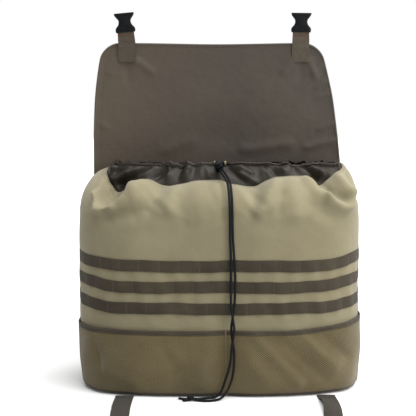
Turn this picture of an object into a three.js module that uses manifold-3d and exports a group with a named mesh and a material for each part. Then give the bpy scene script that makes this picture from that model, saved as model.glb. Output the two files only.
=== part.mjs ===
// Wide soft hunting backpack: a tan drawstring bag with three rows of load webbing and two mesh
// pockets on its front, a dark gathered throat with a drawcord and a spring cord lock, a flap lid
// that buckles to two straps at the foot, and a padded harness on its back.
// Millimetres, +Z up, front towards -Y, +X towards the wearer's right.
// The origin is on the ground under the middle of the bag.
import * as THREE from 'three';
import { mergeVertices } from 'three/addons/utils/BufferGeometryUtils.js';
import Module from 'manifold-3d';

const wasm = await Module();
wasm.setup();

// ---------- driving dimensions ----------
const GAP = 0.3;
const HALF_WIDTH = 303;
const HALF_DEPTH = 135;
const WALL = 3;
const FRONT_SQUARENESS = 3.4;
const BACK_SQUARENESS = 6;
const OUTLINE_STEPS = 64;
const WALL_TOP = 388;
const SHOULDER_TOP = 452;
const HEM_FRONT_TOP = 487;
const HEM_BACK_TOP = 477;
const HEM_HEIGHT = 10;
const HEM_EXIT = { left: -11, right: 15 };

const FRONT_PANEL_REACH = 335;
const GUSSET_REACH = 480;

const WEBBING_ROW_CENTRES = [277, 233, 188];
const WEBBING_ROW_HEIGHT = 24;
const WEBBING_THICKNESS = 2;
const WEBBING_ROW_REACH = 395;

const POCKET_TOP = 143;
const POCKET_BOTTOM = 3;
const POCKET_DEPTH = 10;
const POCKET_WALL = 2.5;
const POCKET_INNER_RAMP = 50;
const POCKET_OUTER_RAMP = 130;
const POCKET_SEAM = 13;
const POCKET_REACH = 392;
const BINDING_HEIGHT = 11;

const LID_ROOT = 485;
const LID_TOP = 737;
const LID_BACK = 135;
const LID_LAYER = 3.7;
const LID_FRONT = LID_BACK - 2 * LID_LAYER - GAP;
const LID_ROOT_HALF_WIDTH = 277;
const LID_TOP_HALF_WIDTH = 226;
const LID_LEAN = -10;
const LID_CORNER = 58;
const LID_TAPE_HALF_WIDTH = 236;
const LID_TAPE_TOP = 480;

const STRAP_WIDTH = 38;
const LID_STRAPS = { left: -206, right: 185 };
const LID_STRAP_FOOT = 697;
const LID_STRAP_HINGE = 740;
const BUCKLE_FOOT = 763;
const BUCKLE_WIDTH = 45;
const BUCKLE_LENGTH = 43;
const BUCKLE_THICKNESS = 11;

const FOOT_STRAPS = { left: -198, right: 224 };
const FOOT_STRAP_START = -141;
const FOOT_STRAP_LENGTH = 400;
const FOOT_HINGE_GAP = 0.8;

const CORD_DIAMETER = 5;
const CORD_SIDES = 8;
const LOCK_CENTRE = new THREE.Vector3(-1, -69, 477);
const LOCK_AXIS = new THREE.Vector3(-0.25, -0.72, 0.65).normalize();
const CORD_EXIT = new THREE.Vector3(0.459, -0.678, -0.574);
const LOCK_RADIUS = 9;
const LOCK_LENGTH = 20;

const HARNESS_TOP = { x: 72, y: 165, z: 430 };
const HARNESS_FOOT = { x: 214, y: 150, z: 48 };
const PAD_BACK = 147;
const HANDLE_HINGE = { y: 153.5, z: 442 };
const HANDLE_DIAMETER = 9;

const COLOURS = {
  tan: 0xb3ab92,
  lid: 0x5b544a,
  throat: 0x4c4640,
  webbing: 0x50493e,
  mesh: 0x6d624a,
  black: 0x1b1d21,
  steel: 0xb8b8b4,
  frame: 0x2b2b2b,
};

const ROUGHNESS = {
  tan: 0.9,
  lid: 0.85,
  throat: 0.8,
  webbing: 0.85,
  mesh: 0.95,
  black: 0.5,
  steel: 0.35,
  frame: 0.6,
};

const backpack = new THREE.Group();

// ---------- helpers ----------
function addPart(name, geometry, finish) {
  const material = new THREE.MeshStandardMaterial({
    color: COLOURS[finish],
    roughness: ROUGHNESS[finish],
    metalness: finish === 'steel' ? 1 : 0,
  });
  const mesh = new THREE.Mesh(geometry, material);
  mesh.name = name;
  backpack.add(mesh);
  return mesh;
}

function lerp(a, b, t) {
  return a + (b - a) * t;
}

function smooth(t) {
  const c = Math.min(1, Math.max(0, t));
  return c * c * (3 - 2 * c);
}

function range(count, make) {
  return Array.from({ length: count }, (_, i) => make(i));
}

// The signed volume of a closed triangle mesh; it is negative when the faces point inwards.
function signedVolume(position, index) {
  let volume = 0;
  const a = new THREE.Vector3();
  const b = new THREE.Vector3();
  const c = new THREE.Vector3();
  for (let i = 0; i < index.length; i += 3) {
    a.fromBufferAttribute(position, index[i]);
    b.fromBufferAttribute(position, index[i + 1]);
    c.fromBufferAttribute(position, index[i + 2]);
    volume += a.dot(b.cross(c)) / 6;
  }
  return volume;
}

// A closed body between an outer and an inner surface on the same grid of u and v values.
// With ring set, the last u joins the first, so the body has no end faces there.
function slab(us, vs, outer, inner, ring = false) {
  const points = [];
  for (const side of [outer, inner]) {
    for (const u of us) {
      for (const v of vs) points.push(...side(u, v));
    }
  }
  const rows = us.length;
  const columns = vs.length;
  const at = (side, i, j) => side * rows * columns + (i % rows) * columns + j;
  const index = [];
  const quad = (a, b, c, d) => index.push(a, b, c, a, c, d);
  const spans = ring ? rows : rows - 1;
  for (let i = 0; i < spans; i += 1) {
    for (let j = 0; j < columns - 1; j += 1) {
      quad(at(0, i, j), at(0, i + 1, j), at(0, i + 1, j + 1), at(0, i, j + 1));
      quad(at(1, i, j), at(1, i, j + 1), at(1, i + 1, j + 1), at(1, i + 1, j));
    }
    quad(at(0, i, 0), at(1, i, 0), at(1, i + 1, 0), at(0, i + 1, 0));
    const last = columns - 1;
    quad(at(0, i, last), at(0, i + 1, last), at(1, i + 1, last), at(1, i, last));
  }
  if (!ring) {
    for (let j = 0; j < columns - 1; j += 1) {
      quad(at(0, 0, j), at(0, 0, j + 1), at(1, 0, j + 1), at(1, 0, j));
      quad(at(0, rows - 1, j), at(1, rows - 1, j), at(1, rows - 1, j + 1), at(0, rows - 1, j + 1));
    }
  }
  const geometry = new THREE.BufferGeometry();
  geometry.setAttribute('position', new THREE.Float32BufferAttribute(points, 3));
  if (signedVolume(geometry.attributes.position, index) < 0) index.reverse();
  geometry.setIndex(index);
  return geometry;
}

function toSolid(geometry) {
  const bare = geometry.clone();
  bare.deleteAttribute('normal');
  bare.deleteAttribute('uv');
  const merged = mergeVertices(bare, 1e-4);
  return new wasm.Manifold(new wasm.Mesh({
    numProp: 3,
    vertProperties: new Float32Array(merged.attributes.position.array),
    triVerts: new Uint32Array(merged.index.array),
  }));
}

function toGeometry(solid) {
  const mesh = solid.getMesh();
  const geometry = new THREE.BufferGeometry();
  geometry.setAttribute('position', new THREE.BufferAttribute(new Float32Array(mesh.vertProperties), 3));
  geometry.setIndex(new THREE.BufferAttribute(new Uint32Array(mesh.triVerts), 1));
  return geometry;
}

function cut(body, ...tools) {
  return toGeometry(tools.reduce((solid, tool) => solid.subtract(toSolid(tool)), toSolid(body)));
}

function join(body, ...others) {
  return toGeometry(others.reduce((solid, other) => solid.add(toSolid(other)), toSolid(body)));
}

function box(x0, x1, y0, y1, z0, z1) {
  const geometry = new THREE.BoxGeometry(x1 - x0, y1 - y0, z1 - z0);
  return geometry.translate((x0 + x1) / 2, (y0 + y1) / 2, (z0 + z1) / 2);
}

function shapeOf(points) {
  return new THREE.Shape(points.map(([x, y]) => new THREE.Vector2(x, y)));
}

function extruded(shape, depth) {
  return new THREE.ExtrudeGeometry(shape, { depth, bevelEnabled: false, curveSegments: 6 });
}

// An outline in the X-Z plane given thickness along Y, from its front face back.
function standing(shape, front, thickness) {
  const geometry = extruded(shape, thickness);
  return geometry.rotateX(Math.PI / 2).translate(0, front + thickness, 0);
}

// An outline in the X-Y plane given thickness along Z.
function lying(shape, bottom, thickness) {
  return extruded(shape, thickness).translate(0, 0, bottom);
}

// An outline in the Y-Z plane given width along X, centred on a given x.
function sideways(shape, centreX, width) {
  const geometry = extruded(shape, width);
  geometry.applyMatrix4(new THREE.Matrix4().makeBasis(
    new THREE.Vector3(0, 1, 0),
    new THREE.Vector3(0, 0, 1),
    new THREE.Vector3(1, 0, 0),
  ));
  return geometry.translate(centreX - width / 2, 0, 0);
}

// A round tube along a smooth curve. Its steps are shared evenly between the listed points, so a
// tight bend, which has its points closer together, gets shorter steps.
function tube(points, diameter, steps, sides = CORD_SIDES) {
  const section = shapeOf(range(sides, (i) => {
    const angle = (i / sides) * Math.PI * 2;
    return [Math.cos(angle) * diameter / 2, Math.sin(angle) * diameter / 2];
  }));
  const path = new THREE.CatmullRomCurve3(points.map(([x, y, z]) => new THREE.Vector3(x, y, z)));
  path.getUtoTmapping = (u) => u;
  return new THREE.ExtrudeGeometry(section, { steps, extrudePath: path, bevelEnabled: false });
}

// ---------- the bag's plan outline ----------
// A rounded outline: |x/a|^n + |y/b|^n = 1, squarer at the back than at the front, then stretched
// to the half width and half depth asked for. The angle is seen from the bag's middle: 0 is the
// middle of the front and a quarter turn is the middle of the +X side.
function outlinePoint(angle, halfWidth, halfDepth) {
  const s = Math.sin(angle);
  const c = Math.cos(angle);
  const power = c > 0 ? FRONT_SQUARENESS : BACK_SQUARENESS;
  const reach = (Math.abs(s / HALF_WIDTH) ** power + Math.abs(c / HALF_DEPTH) ** power) ** (-1 / power);
  return [reach * (s / HALF_WIDTH) * halfWidth, -reach * (c / HALF_DEPTH) * halfDepth];
}

// Angles of points evenly spaced along the outline, with the first in the middle of the front.
function evenAngles(count) {
  const samples = 7200;
  const lengths = [0];
  let last = outlinePoint(0, HALF_WIDTH, HALF_DEPTH);
  for (let i = 1; i <= samples; i += 1) {
    const next = outlinePoint((i / samples) * Math.PI * 2, HALF_WIDTH, HALF_DEPTH);
    lengths.push(lengths[i - 1] + Math.hypot(next[0] - last[0], next[1] - last[1]));
    last = next;
  }
  const perimeter = lengths[samples];
  let cursor = 0;
  const angles = range(count, (i) => {
    while (lengths[cursor] < (i / count) * perimeter) cursor += 1;
    return (cursor / samples) * Math.PI * 2;
  });
  return { angles, perimeter };
}

const { angles: OUTLINE_ANGLES, perimeter: PERIMETER } = evenAngles(OUTLINE_STEPS);
const STEP = PERIMETER / OUTLINE_STEPS;

// A point on the faceted wall, a given distance along it from the front's middle, stood off by
// a distance. Every piece that follows the wall shares these facets, so gaps stay even.
function wallPoint(along, offset) {
  const place = along / STEP;
  const i = Math.floor(place);
  const corner = (k) => {
    const angle = OUTLINE_ANGLES[((k % OUTLINE_STEPS) + OUTLINE_STEPS) % OUTLINE_STEPS];
    return outlinePoint(angle, HALF_WIDTH + offset, HALF_DEPTH + offset);
  };
  const a = corner(i);
  const b = corner(i + 1);
  return [lerp(a[0], b[0], place - i), lerp(a[1], b[1], place - i)];
}

function wallStations(from, to) {
  const first = Math.ceil(from / STEP + 0.2);
  const last = Math.floor(to / STEP - 0.2);
  return [from, ...range(last - first + 1, (i) => (first + i) * STEP), to];
}

// A panel that follows the wall from one station to another, between two offsets and two heights.
function wallPanel(from, to, bottom, top, innerOffset, outerOffset) {
  const outer = (u, z) => [...wallPoint(u, outerOffset), z];
  const inner = (u, z) => [...wallPoint(u, innerOffset), z];
  return slab(wallStations(from, to), [bottom, top], outer, inner);
}

// ---------- bag shell ----------
function addWalls() {
  const panels = {
    front_panel: [-FRONT_PANEL_REACH, FRONT_PANEL_REACH],
    right_gusset: [FRONT_PANEL_REACH + GAP, GUSSET_REACH],
    back_panel: [GUSSET_REACH + GAP, PERIMETER - GUSSET_REACH - GAP],
    left_gusset: [PERIMETER - GUSSET_REACH, PERIMETER - FRONT_PANEL_REACH - GAP],
  };
  for (const [name, [from, to]] of Object.entries(panels)) {
    addPart(name, wallPanel(from, to, 0, WALL_TOP, -WALL, 0), 'tan');
  }
  const inside = range(OUTLINE_STEPS, (i) => wallPoint(i * STEP, -WALL - GAP));
  addPart('bottom_panel', lying(shapeOf(inside), 0, WALL), 'tan');
}

// One level of the closing top: a ring with its own half width and its own front and back.
function ringPoint(step, level) {
  const depth = (level.back - level.front) / 2;
  const [x, y] = outlinePoint(OUTLINE_ANGLES[step], level.halfWidth, depth);
  const towardsBack = (y + depth) / (2 * depth);
  return [x, y + (level.back + level.front) / 2, lerp(level.zFront, level.zBack, towardsBack)];
}

function ringSlab(outerLevels, innerLevels) {
  const steps = range(OUTLINE_STEPS, (i) => i);
  const levels = range(outerLevels.length, (i) => i);
  const outer = (u, v) => ringPoint(u, outerLevels[v]);
  const inner = (u, v) => ringPoint(u, innerLevels[v]);
  return slab(steps, levels, outer, inner, true);
}

const SHOULDER_IN = { front: 65, side: 41, back: 4 };

// The tan fabric rolls over from the upright wall to nearly level at the throat seam.
function shoulderLevel(turn, thickness) {
  const across = 1 - Math.cos(turn);
  const z = WALL_TOP + GAP + (SHOULDER_TOP - WALL_TOP - GAP) * Math.sin(turn) - thickness * Math.sin(turn);
  const inset = thickness * Math.cos(turn);
  return {
    halfWidth: HALF_WIDTH - SHOULDER_IN.side * across - inset,
    front: -HALF_DEPTH + SHOULDER_IN.front * across + inset,
    back: HALF_DEPTH - SHOULDER_IN.back * across - inset,
    zFront: z,
    zBack: z,
  };
}

const HEM = { halfWidth: 272, front: -45, back: 121, width: 10 };

function hemLevel(inset, dropFromTop) {
  return {
    halfWidth: HEM.halfWidth - inset,
    front: HEM.front + inset,
    back: HEM.back - inset,
    zFront: HEM_FRONT_TOP - dropFromTop,
    zBack: HEM_BACK_TOP - dropFromTop,
  };
}

function addClosingTop() {
  const turns = [0, 22.5, 45, 67.5, 90].map((degrees) => (degrees * Math.PI) / 180);
  const shoulder = ringSlab(
    turns.map((turn) => shoulderLevel(turn, 0)),
    turns.map((turn) => shoulderLevel(turn, WALL)),
  );
  addPart('shoulder_panel', shoulder, 'tan');

  const footLevel = SHOULDER_TOP + GAP;
  const foot = { halfWidth: 262, front: -70, back: 131, zFront: footLevel, zBack: footLevel };
  const skirtTop = hemLevel(0, HEM_HEIGHT + GAP);
  const halfway = (key) => lerp(foot[key], skirtTop[key], 0.5);
  const middle = Object.fromEntries(Object.keys(foot).map((key) => [key, halfway(key)]));
  const outer = [foot, middle, skirtTop];
  const thickness = 3;
  const inner = outer.map((level) => ({
    ...level,
    halfWidth: level.halfWidth - thickness,
    front: level.front + thickness,
    back: level.back - thickness,
  }));
  addPart('throat_skirt', ringSlab(outer, inner), 'throat');

  const sleeve = ringSlab([hemLevel(0, HEM_HEIGHT), hemLevel(0, 0)], [
    hemLevel(HEM.width, HEM_HEIGHT), hemLevel(HEM.width, 0)]);
  const wall = 1.3;
  const channel = ringSlab([hemLevel(wall, HEM_HEIGHT + 1), hemLevel(wall, wall)], [
    hemLevel(HEM.width - wall, HEM_HEIGHT + 1), hemLevel(HEM.width - wall, wall)]);
  const exitGap = box(HEM_EXIT.left, HEM_EXIT.right, HEM.front - 5, HEM.front + 15, 470, 495);
  addPart('drawcord_hem', cut(sleeve, channel, exitGap), 'throat');
}

// ---------- drawcord, its eyelets and its lock ----------
function addEyelets() {
  const inner = 3.4;
  const outer = 5.4;
  const halfLength = 1.3;
  const profile = [
    [inner, -halfLength], [outer, -halfLength], [outer, halfLength], [inner, halfLength],
    [inner, -halfLength],
  ];
  const inset = 1.8;
  for (const [side, x] of Object.entries({ left: HEM_EXIT.left + inset, right: HEM_EXIT.right - inset })) {
    const ring = new THREE.LatheGeometry(profile.map(([r, h]) => new THREE.Vector2(r, h)), 20);
    ring.rotateZ(Math.PI / 2).translate(x, HEM.front + HEM.width / 2, HEM_FRONT_TOP - HEM_HEIGHT / 2 - GAP);
    addPart(`eyelet_${side}`, ring, 'steel');
  }
}

// The closed run of the cord inside the hem, from the lock through one eyelet, once round the
// mouth and back through the other eyelet to the lock.
function addDrawcordLoop() {
  const level = hemLevel(HEM.width / 2, HEM_HEIGHT / 2 + GAP);
  const around = range(OUTLINE_STEPS - 3, (i) => ringPoint(i + 2, level));
  const front = level.front;
  const z = level.zFront;
  const points = [
    [-3, -62, 484],
    [-0.4, -57.4, 485.6],
    [2.4, -51, 485.8],
    [6.2, -45, 484.2],
    [HEM_EXIT.right - 4.4, front - 0.6, z + 0.3],
    [HEM_EXIT.right + 2, front, z],
    ...around,
    [HEM_EXIT.left - 2, front, z],
    [HEM_EXIT.left + 4.4, front - 0.6, z],
    [-3.2, -45, 481.8],
    [-4, -51, 481.9],
    [-5.8, -57, 481.6],
    [-7.6, -62.5, 481.3],
  ];
  addPart('drawcord_loop', tube(points, CORD_DIAMETER, points.length - 1), 'black');
}

// Drawcord tails: they leave the lock side by side, lie over the shoulder, hang down the front
// in front of the webbing rows and the pockets, cross, and turn along the ground to one knot.
const TAIL_ROUTES = {
  left: [
    [1.1, -75.9, 470.1], [4.4, -80.7, 466.0], [8.4, -86.6, 460.6], [12.5, -94.5, 454.4], [16, -104, 448.4],
    [18, -115, 439.6], [19.5, -126, 427], [20.5, -134.5, 411], [21, -138.9, 392], [21.5, -139.6, 365],
    [22, -140.2, 335], [23, -141.2, 308], [24, -142.2, 280], [23.5, -142.6, 250], [23.5, -143, 220],
    [24.5, -146.6, 192], [28, -150.6, 168], [30.5, -151.2, 148], [28, -151.2, 126], [25, -150.4, 104],
    [23.4, -147, 82], [19.5, -145.8, 62], [14, -146.2, 44], [8.5, -146.8, 27], [2, -148, 13],
    [-7, -148.6, 4.4], [-18, -149, 2.9], [-30, -152.4, 2.8], [-42, -157, 2.8], [-52, -159.2, 3.4],
  ],
  right: [
    [5.7, -75.1, 472.9], [9.6, -80.3, 468.4], [14.2, -87, 462], [18.4, -95, 455.4], [21.6, -104.5, 448.8],
    [23.4, -115.4, 439.9], [24.8, -126.4, 427.2], [25.8, -134.9, 411], [26.2, -139.1, 392],
    [26.8, -139.7, 365],
    [27.6, -140.3, 335], [29.4, -141.2, 308], [31.4, -142.2, 280], [32.4, -142.6, 250], [32, -143, 220],
    [30.5, -143.8, 192], [27, -144.3, 168], [24.6, -145, 148], [26.6, -145.4, 126], [30, -145.4, 104],
    [30.8, -145.6, 82], [29.6, -146, 62], [26.6, -147.2, 44], [21, -149.6, 28], [13.6, -154, 14.6],
    [4, -160, 5.4], [-7, -165.6, 2.9], [-18, -169.4, 2.8], [-30, -170.2, 2.8], [-41, -168.4, 2.8],
    [-51.5, -165.2, 3.4],
  ],
};

function addDrawcordTails() {
  for (const [side, points] of Object.entries(TAIL_ROUTES)) {
    addPart(`drawcord_tail_${side}`, tube(points, CORD_DIAMETER, (points.length - 1) * 2), 'black');
  }
  const knot = new THREE.SphereGeometry(6.4, 14, 10);
  knot.scale(1.05, 1, 0.86).translate(-59.6, -162.4, 5.6);
  const endRoute = [[-62, -161.4, 4.2], [-69, -159.4, 3], [-76, -156.6, 2.7], [-83, -153, 2.6]];
  const ends = tube(endRoute, CORD_DIAMETER, 6);
  addPart('drawcord_knot', join(knot, ends), 'black');
}

// Barrel cord lock: a cup with a bore, a cross slot for the two cords and a sprung plunger.
// Local +Z is the plunger's way out, local +Y is the way the tails leave.
function lockFrame() {
  const across = new THREE.Vector3().crossVectors(CORD_EXIT, LOCK_AXIS).normalize();
  const along = new THREE.Vector3().crossVectors(LOCK_AXIS, across);
  return new THREE.Matrix4().makeBasis(across, along, LOCK_AXIS).setPosition(LOCK_CENTRE);
}

function lathe(profile, segments) {
  const geometry = new THREE.LatheGeometry(profile.map(([r, z]) => new THREE.Vector2(r, z)), segments);
  return geometry.rotateX(Math.PI / 2);
}

function addCordLock() {
  const half = LOCK_LENGTH / 2;
  const bore = 6.4;
  const floor = 2;
  const slotHalfWidth = 5.6;
  const slotHalfHeight = 2.8;
  const barrelProfile = [
    [0, -half], [LOCK_RADIUS - 1.5, -half], [LOCK_RADIUS, -half + 1.5], [LOCK_RADIUS, half - 1],
    [LOCK_RADIUS - 1, half], [bore, half], [bore, -half + floor], [0, -half + floor],
  ];
  const slot = box(-slotHalfWidth, slotHalfWidth, -20, 20, -slotHalfHeight, slotHalfHeight);
  const barrel = cut(lathe(barrelProfile, 28), slot);
  const plungerRadius = bore - 0.35;
  const plungerFoot = -3.6;
  const buttonTop = half + 5.2;
  const plungerProfile = [
    [0, plungerFoot], [plungerRadius, plungerFoot], [plungerRadius, half + 0.4],
    [plungerRadius, buttonTop - 1.2], [plungerRadius - 1.4, buttonTop], [0, buttonTop],
  ];
  const raisedHalfWidth = slotHalfWidth - 1.4;
  const raisedSlot = box(
    -raisedHalfWidth, raisedHalfWidth, -20, 20, slotHalfHeight * -0.2, slotHalfHeight * 1.6);
  const plunger = cut(lathe(plungerProfile, 24), raisedSlot);
  const springRadius = 3.2;
  const springWire = 0.9;
  const springFoot = -half + floor + springWire / 2 + GAP;
  const springTop = plungerFoot - springWire / 2 - GAP;
  const turns = 2;
  const springPoints = range(turns * 10 + 1, (i) => {
    const angle = (i / 10) * Math.PI * 2;
    const height = lerp(springFoot, springTop, i / (turns * 10));
    return [springRadius * Math.cos(angle), springRadius * Math.sin(angle), height];
  });
  const frame = lockFrame();
  addPart('cord_lock_barrel', barrel.applyMatrix4(frame), 'black');
  addPart('cord_lock_plunger', plunger.applyMatrix4(frame), 'black');
  addPart('cord_lock_spring', tube(springPoints, springWire, 40, 6).applyMatrix4(frame), 'steel');
}

// ---------- front: load webbing and mesh pockets ----------
function addWebbingRows() {
  WEBBING_ROW_CENTRES.forEach((centre, row) => {
    const half = WEBBING_ROW_HEIGHT / 2;
    const strip = wallPanel(
      -WEBBING_ROW_REACH, WEBBING_ROW_REACH, centre - half, centre + half, GAP, GAP + WEBBING_THICKNESS);
    addPart(`webbing_row_${row + 1}`, strip, 'webbing');
  });
}

// A pocket stands off the wall by its depth, which ramps down to nothing at both side seams: over
// a short run at the middle of the bag and over a long one round its side.
function addMeshPockets() {
  const sides = {
    left: [-POCKET_REACH, POCKET_SEAM - 2],
    right: [POCKET_SEAM + 2, POCKET_REACH],
  };
  for (const [side, [from, to]] of Object.entries(sides)) {
    const [innerEnd, outerEnd] = side === 'left' ? [to, from] : [from, to];
    const depthAt = (u) => POCKET_DEPTH
      * smooth(Math.abs(u - innerEnd) / POCKET_INNER_RAMP)
      * smooth(Math.abs(outerEnd - u) / POCKET_OUTER_RAMP);
    const face = (extra) => (u, z) => [...wallPoint(u, GAP + depthAt(u) + extra), z];
    const flat = (offset) => (u, z) => [...wallPoint(u, offset), z];
    const stations = wallStations(from, to);
    const block = slab(stations, [POCKET_BOTTOM, POCKET_TOP], face(POCKET_WALL), flat(GAP));
    const cavityStations = wallStations(from + 9, to - 9);
    const cavity = slab(cavityStations, [POCKET_BOTTOM + 3, POCKET_TOP + 5], face(0), flat(-5));
    addPart(`mesh_pocket_${side}`, cut(block, cavity), 'mesh');
    const binding = slab(
      stations,
      [POCKET_TOP - BINDING_HEIGHT, POCKET_TOP + 1],
      face(POCKET_WALL + GAP + WEBBING_THICKNESS),
      face(POCKET_WALL + GAP),
    );
    addPart(`pocket_binding_${side}`, binding, 'webbing');
  }
}

// ---------- lid ----------
// The lid narrows a little upwards, leans to one side and has two large round top corners.
function lidOutline(margin) {
  const top = LID_TOP - margin;
  const left = LID_LEAN - LID_TOP_HALF_WIDTH + margin;
  const right = LID_LEAN + LID_TOP_HALF_WIDTH - margin;
  const rootLeft = -LID_ROOT_HALF_WIDTH + margin;
  const rootRight = LID_ROOT_HALF_WIDTH - margin;
  const shape = new THREE.Shape();
  shape.moveTo(rootLeft, LID_ROOT);
  shape.lineTo(rootRight, LID_ROOT);
  const waist = lerp(LID_ROOT, top, 0.45);
  shape.bezierCurveTo(rootRight - 8, waist, right + 20, top - LID_CORNER, right + 9, top - 22);
  shape.quadraticCurveTo(right, top, right - 24, top);
  shape.lineTo(left + 24, top);
  shape.quadraticCurveTo(left, top, left - 9, top - 22);
  shape.bezierCurveTo(left - 20, top - LID_CORNER, rootLeft + 8, waist, rootLeft, LID_ROOT);
  return shape;
}

function addLid() {
  const tape = box(-LID_TAPE_HALF_WIDTH, LID_TAPE_HALF_WIDTH, 131.6, 134.4, SHOULDER_TOP + 1, LID_TAPE_TOP);
  addPart('lid_root_tape', tape, 'lid');
  addPart('lid_lining', standing(lidOutline(0), LID_FRONT, LID_LAYER), 'lid');
  addPart('lid_outer_panel', standing(lidOutline(0), LID_FRONT + LID_LAYER + GAP, LID_LAYER), 'lid');
  const strapFront = LID_FRONT - GAP - WEBBING_THICKNESS;
  for (const [side, x] of Object.entries(LID_STRAPS)) {
    const half = STRAP_WIDTH / 2;
    const strapTop = LID_STRAP_HINGE - 2.5;
    const strap = box(x - half, x + half, strapFront, LID_FRONT - GAP, LID_STRAP_FOOT, strapTop);
    addPart(`lid_strap_${side}`, strap, 'webbing');
  }
}

// A webbing loop round a bar, seen from the side: two legs sewn together and a round turn.
function loopOutline(stem, turnRadius, thickness) {
  const shape = new THREE.Shape();
  shape.moveTo(-thickness, 0);
  shape.lineTo(thickness, 0);
  shape.lineTo(thickness, stem - turnRadius);
  shape.absarc(0, stem, turnRadius + thickness, -0.5, Math.PI + 0.5, false);
  shape.lineTo(-thickness, stem - turnRadius);
  const hole = new THREE.Path();
  hole.absarc(0, stem, turnRadius, 0, Math.PI * 2, true);
  shape.holes.push(hole);
  return shape;
}

// Female half of a side-release buckle: mouth up, waisted sides with release windows, webbing bar.
function femaleBuckle() {
  const half = BUCKLE_WIDTH / 2;
  const top = BUCKLE_LENGTH;
  const outline = shapeOf([
    [-half, 0], [half, 0], [half - 0.5, 9], [half - 7, 15], [half - 8.5, 24], [half - 7, 31],
    [half - 1, top - 6], [half, top], [-half, top], [-half + 1, top - 6], [-half + 7, 31],
    [-half + 8.5, 24], [-half + 7, 15], [-half + 0.5, 9],
  ]);
  const depth = BUCKLE_THICKNESS / 2;
  const body = standing(outline, -depth, BUCKLE_THICKNESS);
  const mouth = box(-half + 4.5, half - 4.5, -depth + 2, depth - 2, 13, top + 5);
  const windows = box(-half - 5, half + 5, -depth + 2, depth - 2, 17, 31);
  const loopSlot = box(-half + 3, half - 3, -depth - 5, depth + 5, 4.6, 11);
  const barRelief = box(-half + 3, half - 3, depth - 3.5, depth + 5, -5, 6);
  const barReliefFront = box(-half + 3, half - 3, -depth - 5, -depth + 3.5, -5, 6);
  return cut(body, mouth, windows, loopSlot, barRelief, barReliefFront);
}

function addLidBuckles() {
  const strapMiddle = LID_FRONT - GAP - WEBBING_THICKNESS / 2;
  for (const [side, x] of Object.entries(LID_STRAPS)) {
    const bar = { z: BUCKLE_FOOT + 2.3, radius: 3.4 };
    const stem = bar.z - LID_STRAP_HINGE;
    const loop = sideways(loopOutline(stem, bar.radius, 1.7), x, STRAP_WIDTH - 2);
    addPart(`buckle_webbing_${side}`, loop.translate(0, strapMiddle, LID_STRAP_HINGE), 'webbing');
    addPart(`female_buckle_${side}`, femaleBuckle().translate(x, strapMiddle, BUCKLE_FOOT), 'black');
  }
}

// ---------- foot straps with the male buckle halves ----------
// Male half: a ladder frame with two slots and a guide tongue; the two prongs are pieces of
// their own that flex at their roots. Local +Y runs from the tongue's tip back to the webbing.
const MALE = { length: 50, frameLength: 24, thickness: 8, prongRoot: 24.6 };

function maleFrame() {
  const half = BUCKLE_WIDTH / 2;
  const outline = shapeOf([
    [-half, 0], [half, 0], [half, -MALE.frameLength], [4.5, -MALE.frameLength],
    [3.6, -MALE.length + 4], [-3.6, -MALE.length + 4], [-4.5, -MALE.frameLength],
    [-half, -MALE.frameLength],
  ]);
  const body = lying(outline, 0.4, MALE.thickness);
  const rail = 2.6;
  const slots = [[-10.2, -4.6], [-19.4, -14]].map(
    ([y0, y1]) => box(-half + rail, half - rail, y0, y1, -5, 20));
  return cut(body, ...slots);
}

function prong(side) {
  const outline = shapeOf([
    [11.4, -MALE.prongRoot], [15.4, -MALE.prongRoot], [15.2, -33], [19.6, -36.5], [19.2, -41],
    [13.2, -MALE.length], [11.2, -MALE.length + 2], [12.4, -40], [11.8, -34],
  ].map(([x, y]) => [x * side, y]));
  return lying(outline, 1.6, MALE.thickness - 2.4);
}

function addFootStraps() {
  for (const [side, x] of Object.entries(FOOT_STRAPS)) {
    const half = STRAP_WIDTH / 2;
    const end = FOOT_STRAP_START - FOOT_STRAP_LENGTH;
    const seam = wallPoint(Math.abs(x) - half, 0)[1] - GAP;
    const tab = box(x - half, x + half, FOOT_STRAP_START + FOOT_HINGE_GAP, seam - 1, 0, WEBBING_THICKNESS);
    const strap = box(x - half, x + half, end, FOOT_STRAP_START, 0, WEBBING_THICKNESS);
    addPart(`foot_strap_tab_${side}`, tab, 'webbing');
    addPart(`foot_strap_${side}`, strap, 'webbing');
    const buckle = new THREE.Matrix4().makeTranslation(x, end - GAP, 0);
    addPart(`male_buckle_${side}`, maleFrame().applyMatrix4(buckle), 'black');
    addPart(`prong_${side}_outer`, prong(Math.sign(x)).applyMatrix4(buckle), 'black');
    addPart(`prong_${side}_inner`, prong(-Math.sign(x)).applyMatrix4(buckle), 'black');
  }
}

// ---------- back: frame sheet, back pad, shoulder straps and haul handle ----------
function addBack() {
  const sheet = { half: 190, front: 125.5, back: 128, foot: 6, top: 440 };
  const sheetBox = box(-sheet.half, sheet.half, sheet.front, sheet.back, sheet.foot, sheet.top);
  addPart('frame_sheet', sheetBox, 'frame');
  const pad = new THREE.Shape();
  const padHalf = 170;
  const corner = 40;
  const foot = 30;
  const top = 418;
  pad.moveTo(-padHalf, foot + corner);
  pad.quadraticCurveTo(-padHalf, foot, -padHalf + corner, foot);
  pad.lineTo(padHalf - corner, foot);
  pad.quadraticCurveTo(padHalf, foot, padHalf, foot + corner);
  pad.lineTo(padHalf, top - corner);
  pad.quadraticCurveTo(padHalf, top, padHalf - corner, top);
  pad.lineTo(-padHalf + corner, top);
  pad.quadraticCurveTo(-padHalf, top, -padHalf, top - corner);
  addPart('back_pad', standing(pad, HALF_DEPTH + GAP, PAD_BACK - HALF_DEPTH - GAP), 'lid');
}

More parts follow.
